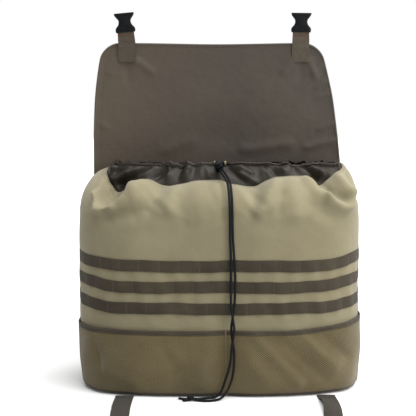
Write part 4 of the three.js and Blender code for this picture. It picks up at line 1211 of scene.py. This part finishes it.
def add_mesh_pockets():
    for side, (first, last) in POCKET_SIDES.items():
        net = piece(f"pocket_netting_{side}", netting(side), NETTING, "bag",
                    [f"mesh_pocket_{side}"])
        wall_of_net = net.modifiers.new("strand_thickness", "SOLIDIFY")
        wall_of_net.thickness = 0.0005
        wall_of_net.offset = 0
        s = around(first, last, 0.004)[:, None]
        t = np.linspace(0, 1, 7)[None]
        z = POCKET_HIGH - BINDING + t * BINDING
        crown = 0.0007 + 0.0011 * np.sin(math.pi * t) + 0.0003 * np.sin(s * 390)
        binding = thick(pocket_point(s, z, side, crown), 0.002)
        piece(f"pocket_hem_binding_{side}", binding, WEBBING, "bag", [f"pocket_binding_{side}"])
        rows = []
        for level in (0.0022, BINDING - 0.002):
            run = around(first + 0.002, last - 0.002, 0.004)
            line = pocket_point(run, np.full_like(run, POCKET_HIGH - BINDING + level), side, 0.0014)
            rows.append(stitches(line, outwards_from_middle(line), *LIGHT_STITCH))
        foot = around(first + 0.004, last - 0.004, 0.006)
        tape = np.linspace(0, 1, 4)[None]
        edge = pocket_point(foot[:, None], POCKET_LOW - 0.001 + 0.007 * tape, side, 0.0004)
        piece(f"pocket_foot_tape_{side}", thick(edge, 0.0008), WEBBING, "bag")
        piece(f"pocket_binding_stitching_{side}", together(rows), DARK_THREAD, "bag")
    z = np.linspace(POCKET_LOW, POCKET_HIGH - 0.001, 24)[None]
    s = np.linspace(0.0112, 0.0148, 5)[:, None]
    seam = wall(s, z, 0.0022 + 0.0006 * np.sin(math.pi * (s - 0.0112) / 0.0036))
    piece("pocket_centre_seam_tape", thick(seam, 0.0012), NETTING, "bag")
    for side, s in (("left", -0.334), ("right", 0.334)):
        line = pocket_point(np.full(24, s), z[0], side, 0.0006)
        piece(f"pocket_gusset_piping_{side}", tube(line, 0.0013, 8, up=(0, 1, 0)), NETTING, "bag")


# ---------- lid ----------
LID_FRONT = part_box("lid_lining")[0].y
LID_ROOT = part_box("lid_root_tape")[0].z - 0.010
LID_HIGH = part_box("lid_outer_panel")[1].z
LID_THICK = 0.0042
# The lid's side edges, as (height, left x, right x), below its two round top corners.
LID_EDGES = [(0.440, -0.2815, 0.278), (0.478, -0.2812, 0.2745), (0.51, -0.2808, 0.271),
             (0.545, -0.2802, 0.2665), (0.61, -0.2772, 0.2575), (0.655, -0.2725, 0.248),
             (0.70, -0.2655, 0.2365), (0.738, -0.256, 0.225)]
LID_CORNER = 0.034
LID_FOLDS = [
    ((-0.186, 0.700), (-0.150, 0.676), 0.008, 0.0026), ((-0.226, 0.700), (-0.244, 0.672), 0.008, 0.0024),
    ((-0.206, 0.694), (-0.204, 0.660), 0.010, -0.0022), ((0.166, 0.702), (0.146, 0.676), 0.008, 0.0026),
    ((0.204, 0.700), (0.220, 0.664), 0.008, 0.0026), ((0.185, 0.695), (0.184, 0.664), 0.010, -0.002),
    ((0.232, 0.690), (0.214, 0.672), 0.005, 0.0022), ((0.240, 0.655), (0.222, 0.640), 0.005, 0.0022),
    ((0.246, 0.628), (0.226, 0.618), 0.005, 0.0018), ((0.256, 0.560), (0.230, 0.548), 0.006, 0.002),
    ((0.262, 0.520), (0.200, 0.505), 0.008, 0.0028), ((-0.120, 0.500), (-0.060, 0.520), 0.014, 0.002),
    ((0.060, 0.500), (0.160, 0.512), 0.012, 0.003), ((-0.270, 0.560), (-0.250, 0.548), 0.006, 0.0016)]


def lid_grid(columns, rows):
    """The lid's front face. Rows go up evenly and then round its top corners, where a row ends
    sooner by R (1 - cos a) while it rises by R sin a."""
    edge = curve_through(LID_EDGES, 0.004)
    straight = np.linspace(LID_ROOT, LID_HIGH - LID_CORNER, rows)
    turn = np.linspace(0, math.pi / 2, 22)[1:]
    z = np.concatenate([straight, LID_HIGH - LID_CORNER + LID_CORNER * np.sin(turn)])
    tuck = np.concatenate([0 * straight, LID_CORNER * (1 - np.cos(turn))])
    left = np.interp(z, edge[:, 0], edge[:, 1]) + tuck
    right = np.interp(z, edge[:, 0], edge[:, 2]) - tuck
    t = np.linspace(0, 1, columns)
    x = lerp(left[None], right[None], t[:, None])
    dip = 0.003 * np.exp(-(x / 0.12) ** 2) * smooth((z[None] - 0.7) / 0.03)
    z = z[None] - dip
    reach = np.minimum(x - left[None], right[None] - x)
    free = smooth((z - 0.49) / 0.05)
    slow = 0.0016 * np.sin(11 * x + 9 * z) + 0.0012 * np.sin(31 * x - 17 * z + 1.0)
    quick = 0.0003 * np.sin(85 * z + 40 * x) * np.exp(-reach / 0.03)
    belly = 0.0022 * np.sin(math.pi * t)[:, None] * np.sin(math.pi * smooth((z - 0.48) / 0.25))
    edge_roll = 0.0012 * smooth(1 - reach / 0.012)
    y = LID_FRONT + 0.0028 - free * (slow + quick + belly) - folds(x, z, LID_FOLDS) - edge_roll
    return np.stack([x, y, z], -1)


def lid_edge(grid):
    """The lid's free edge: up its left side, along the top and down the right."""
    return np.concatenate([grid[0], grid[1:-1, -1], grid[-1][::-1]])


def blend_lid(made):
    """Bakes a lid piece's placement into its mesh."""
    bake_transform(made)


def add_lid():
    grid = lid_grid(110, 54)
    panel = piece("lid_panel", thick(grid, LID_THICK), LID, "lid",
                  ["lid_lining", "lid_outer_panel", "lid_root_tape"], rides=False)
    blend_lid(panel)
    middle = lid_edge(grid) + np.array([0, LID_THICK / 2, 0])
    rim = resample(middle, 0.003)
    blend_lid(piece("lid_edge_piping", tube(rim, 0.0029, 10, up=(0, 1, 0)), LID, "lid",
                    rides=False))
    line = lid_edge(grid[3:-3, :-6])
    front = stitches(line + np.array([0, -0.0003, 0]), (0, -1, 0), *LID_STITCH)
    behind = stitches(line + np.array([0, LID_THICK + 0.0003, 0]), (0, 1, 0), *LID_STITCH)
    blend_lid(piece("lid_topstitching", together([front, behind]), DARK_THREAD, "lid", rides=False))
    back_face = LID_FRONT + 0.0028 + LID_THICK
    starts = [np.array([-0.268, back_face, LID_ROOT + rise]) for rise in (0.004, 0.010, 0.024)]
    rows = [stitches(np.linspace(start, start * np.array([-1, 1, 1]), 90), (0, 1, 0), 0.0044, 0.0032, 0.0005)
            for start in starts]
    piece("lid_root_stitching", together(rows), DARK_THREAD, "bag")


# ---------- webbing ribbons and buckles ----------
def ribbon(path, width, thickness, across=(1, 0, 0), columns=7):
    """Flat webbing along a path: its width lies along one direction, its edges a little thinner.
    The width may change along the path."""
    tangent = unit(np.gradient(path, axis=0))
    side = np.broadcast_to(np.asarray(across, float), path.shape)
    side = unit(side - tangent * (side * tangent).sum(1, keepdims=True))
    normal = np.cross(side, tangent)
    half = np.broadcast_to(np.asarray(width, float) / 2, (len(path),))[:, None, None]
    t = np.linspace(-1, 1, columns)[None, :, None]
    crown = thickness / 2 * (1 - 0.35 * t ** 6)
    middle = path[:, None] + side[:, None] * half * t
    return shell(middle + normal[:, None] * crown, middle - normal[:, None] * crown)


def box_stitch(centre, width, height, normal, up):
    """A sewn box with a cross in it, flat on a strap."""
    centre, normal, up = (np.asarray(v, float) for v in (centre, normal, up))
    side = np.cross(up, normal)
    corner = [centre + side * width / 2 * a + up * height / 2 * b
              for a, b in ((-1, -1), (1, -1), (1, 1), (-1, 1))]
    lines = [(0, 1), (1, 2), (2, 3), (3, 0), (0, 2), (1, 3)]
    return together([stitches(np.linspace(corner[a], corner[b], 8), normal, 0.0034, 0.0028, 0.00045)
                     for a, b in lines])


# A female buckle's outline from its foot up, as (height, half width).
BUCKLE_PROFILE = [
    (0, 0.0212), (0.004, 0.0222), (0.009, 0.0216), (0.013, 0.0186), (0.017, 0.0154), (0.022, 0.0137),
    (0.027, 0.0140), (0.031, 0.0162), (0.035, 0.0196), (0.038, 0.0215), (0.0415, 0.0224), (0.043, 0.0216)]


def buckle_part(x, tilt):
    """The female half of a side-release buckle, standing mouth up on its webbing bar: a waisted
    shell as rings of one outline, hollow at both ends, with a raised panel on each face."""
    low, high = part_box("female_buckle_left")
    middle = (low.y + high.y) / 2
    half_depth = (high.y - low.y) / 2
    z, half = np.array(BUCKLE_PROFILE).T
    fine = np.linspace(0, z[-1], 60)
    line = curve_through(np.stack([z, half], -1), 0.0005)
    reach = np.interp(fine, line[:, 0], line[:, 1])
    wide, deep = squircle(48, 7)
    pillow = 1 - 0.16 * ((fine - 0.0215) / 0.0215) ** 6
    rings = np.stack(np.broadcast_arrays(
        reach[:, None] * wide, (half_depth * 0.93 * pillow)[:, None] * deep, fine[:, None]), -1)
    neck = rings[-1] * np.array([0.8, 0.62, 1])
    inner = [neck + np.array([0, 0, -d]) for d in (0.0, 0.0012, 0.012)]
    under = rings[0] * np.array([0.82, 0.45, 1])
    hollow = [under + np.array([0, 0, d]) for d in (0.010, 0.0012, 0.0)]
    shape = ring_part(np.concatenate([np.stack(hollow), rings, np.stack(inner)]))
    panels = [rounded_box((-0.0085, low_y, 0.0135), (0.0085, high_y, 0.0335), 0.0012)
              for low_y, high_y in ((-half_depth - 0.0002, -half_depth + 0.0016),
                                    (half_depth - 0.0016, half_depth + 0.0002))]
    bar = tube(np.linspace((-0.0195, 0, 0.0023), (0.0195, 0, 0.0023), 12), 0.0019, 12)
    ribs = [rounded_box((-0.016, -half_depth - 0.0001, h), (0.016, -half_depth + 0.0014, h + 0.0012), 0.0005)
            for h in (0.0045, 0.0375)]
    turned = Matrix.Translation((x, middle, low.z)) @ Matrix.Rotation(tilt, 4, "Y")
    return moved(together([shape] + panels + [bar] + ribs), turned)


LID_STRAPS = {side: middle_of(f"lid_strap_{side}")[0] for side in ("left", "right")}
BUCKLE_TILT = {"left": math.radians(-5.5), "right": math.radians(0.8)}
STRAP_FOLD = 0.740
BUCKLE_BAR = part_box("female_buckle_left")[0].z + 0.0023


def lid_strap_path(x, y, foot, lean):
    """A lid strap's line: up the lid, round the buckle's bar and down behind, leant sideways with
    the buckle above its fold."""
    rise = np.linspace(foot, BUCKLE_BAR - 0.006, 30)
    front = np.stack([0 * rise + x, 0 * rise + y - 0.0012 * smooth((rise - 0.738) / 0.01), rise], -1)
    angle = np.linspace(-0.35, math.pi + 0.35, 16)
    turn = np.stack([0 * angle + x, y - 0.0031 * np.cos(angle), BUCKLE_BAR + 0.0031 * np.sin(angle)], -1)
    fall = np.linspace(BUCKLE_BAR - 0.006, STRAP_FOLD + 0.004, 14)
    apart = 0.0012 + 0.0016 * smooth((fall - 0.752) / 0.01)
    behind = np.stack([0 * fall + x, y + apart, fall], -1)
    path = resample(np.concatenate([front, turn, behind]), 0.0015)
    path[:, 0] += math.tan(lean) * np.clip(path[:, 2] - STRAP_FOLD, 0, None)
    return path


def add_lid_straps():
    low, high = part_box("lid_strap_left")
    y = (low.y + high.y) / 2
    foot = low.z
    for side, x in LID_STRAPS.items():
        lean = BUCKLE_TILT[side]
        path = lid_strap_path(x, y, foot, lean)
        wide = 0.0385 - 0.0015 * smooth((path[:, 2] - STRAP_FOLD) / 0.02)
        strap = piece(f"lid_strap_webbing_{side}", ribbon(path, wide, 0.0016), LID_WEBBING, "lid",
                      [f"lid_strap_{side}", f"buckle_webbing_{side}"], rides=False)
        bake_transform(strap)
        sewn = box_stitch((x, y - 0.0009, foot + 0.019), 0.031, 0.030, (0, -1, 0), (0, 0, 1))
        piece(f"lid_strap_box_stitch_{side}", sewn, DARK_THREAD, "lid")
        middle = x + math.tan(lean) * 0.018
        ends = [(middle + shift, y - 0.0030, BUCKLE_BAR - 0.0075) for shift in (-0.017, 0.017)]
        tack = stitches(np.linspace(*ends, 9), (0, -1, 0), 0.0024, 0.0024, 0.0006)
        piece(f"buckle_strap_bartack_{side}", tack, RUST_THREAD, f"lid_buckle_{side}")
        shape = buckle_part(x + math.tan(lean) * 0.023, lean)
        piece(f"moulded_female_buckle_{side}", shape, ACETAL, f"lid_buckle_{side}",
              [f"female_buckle_{side}"])


# ---------- foot straps with male buckles ----------
def male_buckle_part(x, end):
    """The male half: two side rails, three round bars for the webbing and a tapered guide."""
    rail = [rounded_box((x + a, end - 0.024, 0.0006), (x + b, end, 0.0084), 0.0012)
            for a, b in ((-0.0225, -0.0199), (0.0199, 0.0225))]
    bars = [tube(np.linspace((x - 0.0205, end - d, 0.0044), (x + 0.0205, end - d, 0.0044), 10), r, 12)
            for d, r in ((0.0023, 0.0017), (0.0121, 0.0017), (0.0215, 0.0024))]
    block = rounded_box((x - 0.0195, end - 0.0246, 0.0010), (x + 0.0195, end - 0.0200, 0.0082), 0.0012)
    y = np.linspace(end - 0.0235, end - 0.046, 14)
    guide = tube(np.stack([0 * y + x, y, 0 * y + 0.0044], -1), np.linspace(0.0046, 0.0032, 14), 14,
                 squash=0.75)
    return together(rail + bars + [block, guide])


# A foot strap's side view round its buckle's bars, as (distance past the webbing's end, height).
BUCKLE_THREADING = [
    (0.010, 0.0016), (0.0015, 0.0070), (-0.0023, 0.0073), (-0.0060, 0.0052), (-0.0090, 0.0022),
    (-0.0121, 0.0014), (-0.0158, 0.0026), (-0.0172, 0.0048), (-0.0152, 0.0068), (-0.0121, 0.0075),
    (-0.0070, 0.0080), (-0.0023, 0.0092), (0.0040, 0.0082), (0.0140, 0.0044), (0.0260, 0.0030),
    (0.0480, 0.0028), (0.0720, 0.0028)]
FOOT_STRAP_TWIST = {"left": 0.06, "right": 0.30}
FOOT_STRAP_DRIFT = {"left": -0.0012, "right": 0.004}


def add_foot_straps():
    for side in ("left", "right"):
        x = middle_of(f"foot_strap_{side}")[0]
        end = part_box(f"foot_strap_{side}")[0].y
        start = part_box(f"foot_strap_tab_{side}")[1].y
        flat = [(y, 0.0011) for y in (start, -0.15, -0.22, -0.3, -0.4, -0.5)]
        flat += [(end + past, height) for past, height in BUCKLE_THREADING]
        path = curve_through(flat, 0.0009)
        bend = np.sin(np.clip((-path[:, 0] - 0.14) / 0.12, 0, 1) * math.pi)
        line = np.stack([x + FOOT_STRAP_DRIFT[side] * bend, path[:, 0], path[:, 1]], -1)
        free = smooth((-line[:, 1] - 0.145) / 0.02) * smooth((line[:, 1] + 0.34) / 0.06)
        roll = FOOT_STRAP_TWIST[side] * free * np.sin((line[:, 1] + 0.145) * 26)
        across = np.stack([np.cos(roll), 0 * roll, np.sin(roll)], -1)
        line[:, 2] += np.abs(np.sin(roll)) * 0.017
        # The foot straps take the webbing darkened by painted shade for the shade under the bag.
        strap = piece(f"foot_strap_webbing_{side}", ribbon(line, 0.038, 0.0016, across), SHADED_FOOT_WEBBING, "bag",
                      [f"foot_strap_{side}", f"foot_strap_tab_{side}"], rides=False)
        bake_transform(strap)
        piece(f"moulded_male_buckle_{side}", male_buckle_part(x, end), ACETAL, f"foot_strap_{side}",
              [f"male_buckle_{side}"])
        for place in ("outer", "inner"):
            eased_copy(f"moulded_prong_{side}_{place}", f"prong_{side}_{place}", ACETAL,
                       f"prong_{side}_{place}", 0.0009, 3)


# ---------- padded back, harness and haul handle ----------
def cloth_pad(made, pressure, cap, voxel):
    """Fills a pad by simulation: a remeshed copy swells under pressure without gravity, no point
    moves further than the cap, and the result becomes the mesh."""
    remesh = made.modifiers.new("even_cloth", "REMESH")
    remesh.mode = "VOXEL"
    remesh.voxel_size = voxel
    apply_modifiers(made)
    rest = points_of(made)
    cloth = made.modifiers.new("stuffing", "CLOTH")
    cloth.settings.use_pressure = True
    cloth.settings.uniform_pressure_force = pressure
    cloth.settings.quality = 4
    cloth.settings.effector_weights.gravity = 0
    scene = bpy.context.scene
    for step in range(1, 21):
        scene.frame_set(step)
    swollen = evaluated_points(made)
    made.modifiers.remove(cloth)
    scene.frame_set(1)
    move = swollen - rest
    size = np.linalg.norm(move, axis=1, keepdims=True)
    set_points(made, rest + move * np.minimum(1, cap / np.maximum(size, 1e-9)))
    rounder = made.modifiers.new("smooth_cloth", "SUBSURF")
    rounder.levels = rounder.render_levels = 1
    apply_modifiers(made)


def points_of(made):
    flat = np.empty(len(made.data.vertices) * 3)
    made.data.vertices.foreach_get("co", flat)
    return flat.reshape(-1, 3)


def evaluated_points(made):
    body = made.evaluated_get(bpy.context.evaluated_depsgraph_get())
    flat = np.empty(len(body.data.vertices) * 3)
    body.data.vertices.foreach_get("co", flat)
    return flat.reshape(-1, 3)


def set_points(made, points):
    made.data.vertices.foreach_set("co", points.astype(np.float32).ravel())
    made.data.update()


def apply_modifiers(made):
    body = made.evaluated_get(bpy.context.evaluated_depsgraph_get())
    mesh = bpy.data.meshes.new_from_object(body)
    made.modifiers.clear()
    old = made.data
    made.data = mesh
    bpy.data.meshes.remove(old)
    mesh.polygons.foreach_set("use_smooth", np.ones(len(mesh.polygons), bool))


def add_back_pad():
    low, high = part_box("back_pad")
    middle = middle_of("back_pad")
    half = middle - np.array(low)
    start = rounded_box(low + Vector((0.004, 0.0006, 0.004)), high - Vector((0.004, 0.004, 0.004)), 0.004)
    made = loose("padded_back_panel", start, SPACER)
    cloth_pad(made, 4.0, 0.006, 0.005)
    p = points_of(made)
    x, z = p[:, 0] - middle[0], p[:, 2] - middle[2]
    round_x = half[0] - 0.03 * np.clip(np.abs(z) / half[2], 0, 1) ** 8
    p[:, 0] = middle[0] + x * round_x / half[0]
    channels = np.exp(-(np.abs(np.abs(x) - 0.058 - 0.01 * np.cos(z * 12)) / 0.007) ** 2)
    bars = np.exp(-((np.mod(z + 0.2, 0.098) - 0.049) / 0.006) ** 2) * (np.abs(x) > 0.062)
    press = np.clip(p[:, 1] - low.y - 0.002, 0, None)
    p[:, 1] -= press * 0.8 * np.clip(channels + bars, 0, 1)
    p[:, 1] = np.clip(p[:, 1], low.y, high.y + 0.004)
    set_points(made, p)
    settle(made, "bag", ["back_pad"])
    wide, tall = squircle(260, 9)
    rim = np.stack([middle[0] + half[0] * wide * 0.985, 0 * wide + low.y + 0.0022,
                    middle[2] + half[2] * tall * 0.985], -1)
    piece("back_pad_binding", loop_tube(rim, 0.0024, 10, up=(0, 1, 0)), WEBBING, "bag")


# The right shoulder strap from its top down, as (x, y, z, width, thickness).
STRAP_STATIONS = [
    (0.072, 0.165, 0.4255, 0.038, 0.005), (0.074, 0.174, 0.414, 0.042, 0.008),
    (0.079, 0.186, 0.398, 0.052, 0.009), (0.088, 0.196, 0.368, 0.062, 0.010),
    (0.101, 0.202, 0.330, 0.064, 0.010), (0.120, 0.203, 0.288, 0.064, 0.010),
    (0.141, 0.200, 0.246, 0.063, 0.010), (0.160, 0.195, 0.206, 0.058, 0.009),
    (0.175, 0.188, 0.170, 0.047, 0.008), (0.184, 0.183, 0.146, 0.034, 0.006)]
# The webbing below it, from the ladder lock to the foot anchor.
HARNESS_TAIL = [(0.1895, 0.1790, 0.1290), (0.192, 0.1755, 0.120), (0.198, 0.1700, 0.102),
                (0.206, 0.1612, 0.078), (0.214, 0.1505, 0.052)]


def strap_line(side):
    """A shoulder strap's middle line with its width and thickness. Side is -1 or 1."""
    return curve_through(STRAP_STATIONS, 0.004) * np.array([side, 1, 1, 1, 1])


def strap_frame(line):
    """The directions across a strap's width and through its thickness."""
    tangent = unit(np.gradient(line[:, :3], axis=0))
    across = unit(np.array([1.0, 0, 0]) - tangent * tangent[:, :1])
    return across, np.cross(across, tangent)


def add_shoulder_straps():
    for name, side in (("left", -1), ("right", 1)):
        body = f"shoulder_strap_{name}"
        line = strap_line(side)
        across, normal = strap_frame(line)
        wide, deep = squircle(28, 4)
        rings = (line[:, None, :3]
                 + across[:, None] * (line[:, None, 3:4] / 2 * 0.97 * wide[None, :, None])
                 + normal[:, None] * (line[:, None, 4:5] / 2 * deep[None, :, None]))
        made = loose(f"padded_shoulder_strap_{name}", ring_part(rings), SPACER)
        cloth_pad(made, 4.0, 0.004, 0.0042)
        settle(made, body, [f"shoulder_strap_{name}"])
        for edge, sign in (("inner", -1), ("outer", 1)):
            rim = line[:, :3] + across * (line[:, 3:4] / 2 * sign)
            piece(f"strap_binding_{name}_{edge}", tube(rim, 0.0022, 8, up=(0, 1, 0)), WEBBING, body)
        out = normal * np.sign(normal[:, 1:2].mean() or 1)
        web = line[2:-4, :3] + out[2:-4] * (line[2:-4, 4:5] / 2 + 0.0016)
        piece(f"strap_daisy_webbing_{name}", ribbon(web, 0.020, 0.0015), WEBBING, body)
        tacks = [stitches(np.linspace(web[k] - across[k + 2] * 0.009, web[k] + across[k + 2] * 0.009, 8)
                          + out[k + 2] * 0.0008, out[k + 2], *BARTACK)
                 for k in range(4, len(web) - 2, 9)]
        piece(f"strap_bartacks_{name}", together(tacks), DARK_THREAD, body)
        eased_copy(f"moulded_ladder_lock_{name}", f"ladder_lock_{name}", ACETAL, body, 0.0009)
        tail = curve_through(np.array(HARNESS_TAIL) * np.array([side, 1, 1]), 0.002)
        piece(f"harness_adjuster_webbing_{name}", ribbon(tail, 0.025, 0.0016), WEBBING, body,
              [f"harness_webbing_{name}"])


def add_tabs():
    for node in [f"harness_{end}_tab_{side}" for end in ("top", "foot") for side in ("left", "right")]:
        low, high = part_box(node)
        middle = (low + high) / 2
        size = high - low
        layers = [rounded_box(low, (high.x, high.y, middle.z - 0.0001), size.z * 0.24),
                  rounded_box((low.x, low.y, middle.z + 0.0001), high, size.z * 0.24)]
        piece(f"{node}_webbing", together(layers), WEBBING, "bag", [node])
        rows = [stitches(np.linspace((low.x + 0.003, y, high.z), (high.x - 0.003, y, high.z), 8), (0, 0, 1),
                         0.003, 0.0024, 0.0005) for y in (low.y + 0.005, high.y - 0.004)]
        piece(f"{node}_stitching", together(rows), DARK_THREAD, "bag")
    for side in ("left", "right"):
        node = f"haul_handle_tab_{side}"
        low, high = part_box(node)
        piece(f"{node}_webbing", rounded_box(low, high, 0.0016), WEBBING, "bag", [node])
        place = ((low.x + high.x) / 2, high.y, (low.z + high.z) / 2)
        sewn = box_stitch(place, 0.016, 0.007, (0, 1, 0), (0, 0, 1))
        piece(f"{node}_box_stitch", sewn, DARK_THREAD, "bag")


def add_haul_handle():
    low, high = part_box("haul_handle")
    radius = (high.y - low.y) / 2
    middle_y = (low.y + high.y) / 2
    half_span = high.x - radius
    top = high.z
    drop = top - low.z - radius
    angle = np.linspace(math.pi, math.tau, 60)
    path = np.stack([half_span * np.cos(angle), 0 * angle + middle_y, top + drop * np.sin(angle)], -1)
    path = path[1:-1]
    grip = np.sin(np.linspace(0, math.pi, len(path)))
    wide = 0.0055 + 0.0032 * smooth(1 - grip * 1.8)
    sides = turns(14)
    relief = 0.0003 * np.cos(6 * sides)[None] + 0 * wide[:, None]
    body = tube(path, np.minimum(wide, radius), 14, up=(0, 1, 0), relief=relief)
    piece("rolled_haul_handle", body, WEBBING, "haul_handle", ["haul_handle"])
    run = path[14:-14]
    inward = unit(np.array([0, middle_y, top]) - run) * 0.0056
    seam = stitches(run + np.array([0, 0.0056, 0]), (0, 1, 0), 0.0036, 0.0028, 0.0005)
    other = stitches(run + inward, unit(inward), 0.0036, 0.0028, 0.0005)
    piece("haul_handle_stitching", together([seam, other]), DARK_THREAD, "haul_handle")


def paint_cad(node, finish):
    mesh_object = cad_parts[node]
    mesh_object.data.materials.clear()
    mesh_object.data.materials.append(finish)


def add_floor():
    rings = np.array([[(-9, -9, 0), (9, -9, 0)], [(-9, 9, 0), (9, 9, 0)]], float)
    slab = thick(rings.transpose(1, 0, 2), 0.02)
    floor = loose("pale_floor", slab, painted_floor(), weld=False)
    floor.location.z = -0.0002


add_camera()
add_studio()
add_floor()
add_drawcord()
add_cord_lock()
add_bag()
add_bag_stitching()
add_throat()
add_load_webbing()
add_mesh_pockets()
add_lid()
add_lid_straps()
add_foot_straps()
add_back_pad()
add_shoulder_straps()
add_tabs()
add_haul_handle()
paint_cad("frame_sheet", SHEET_PLASTIC)
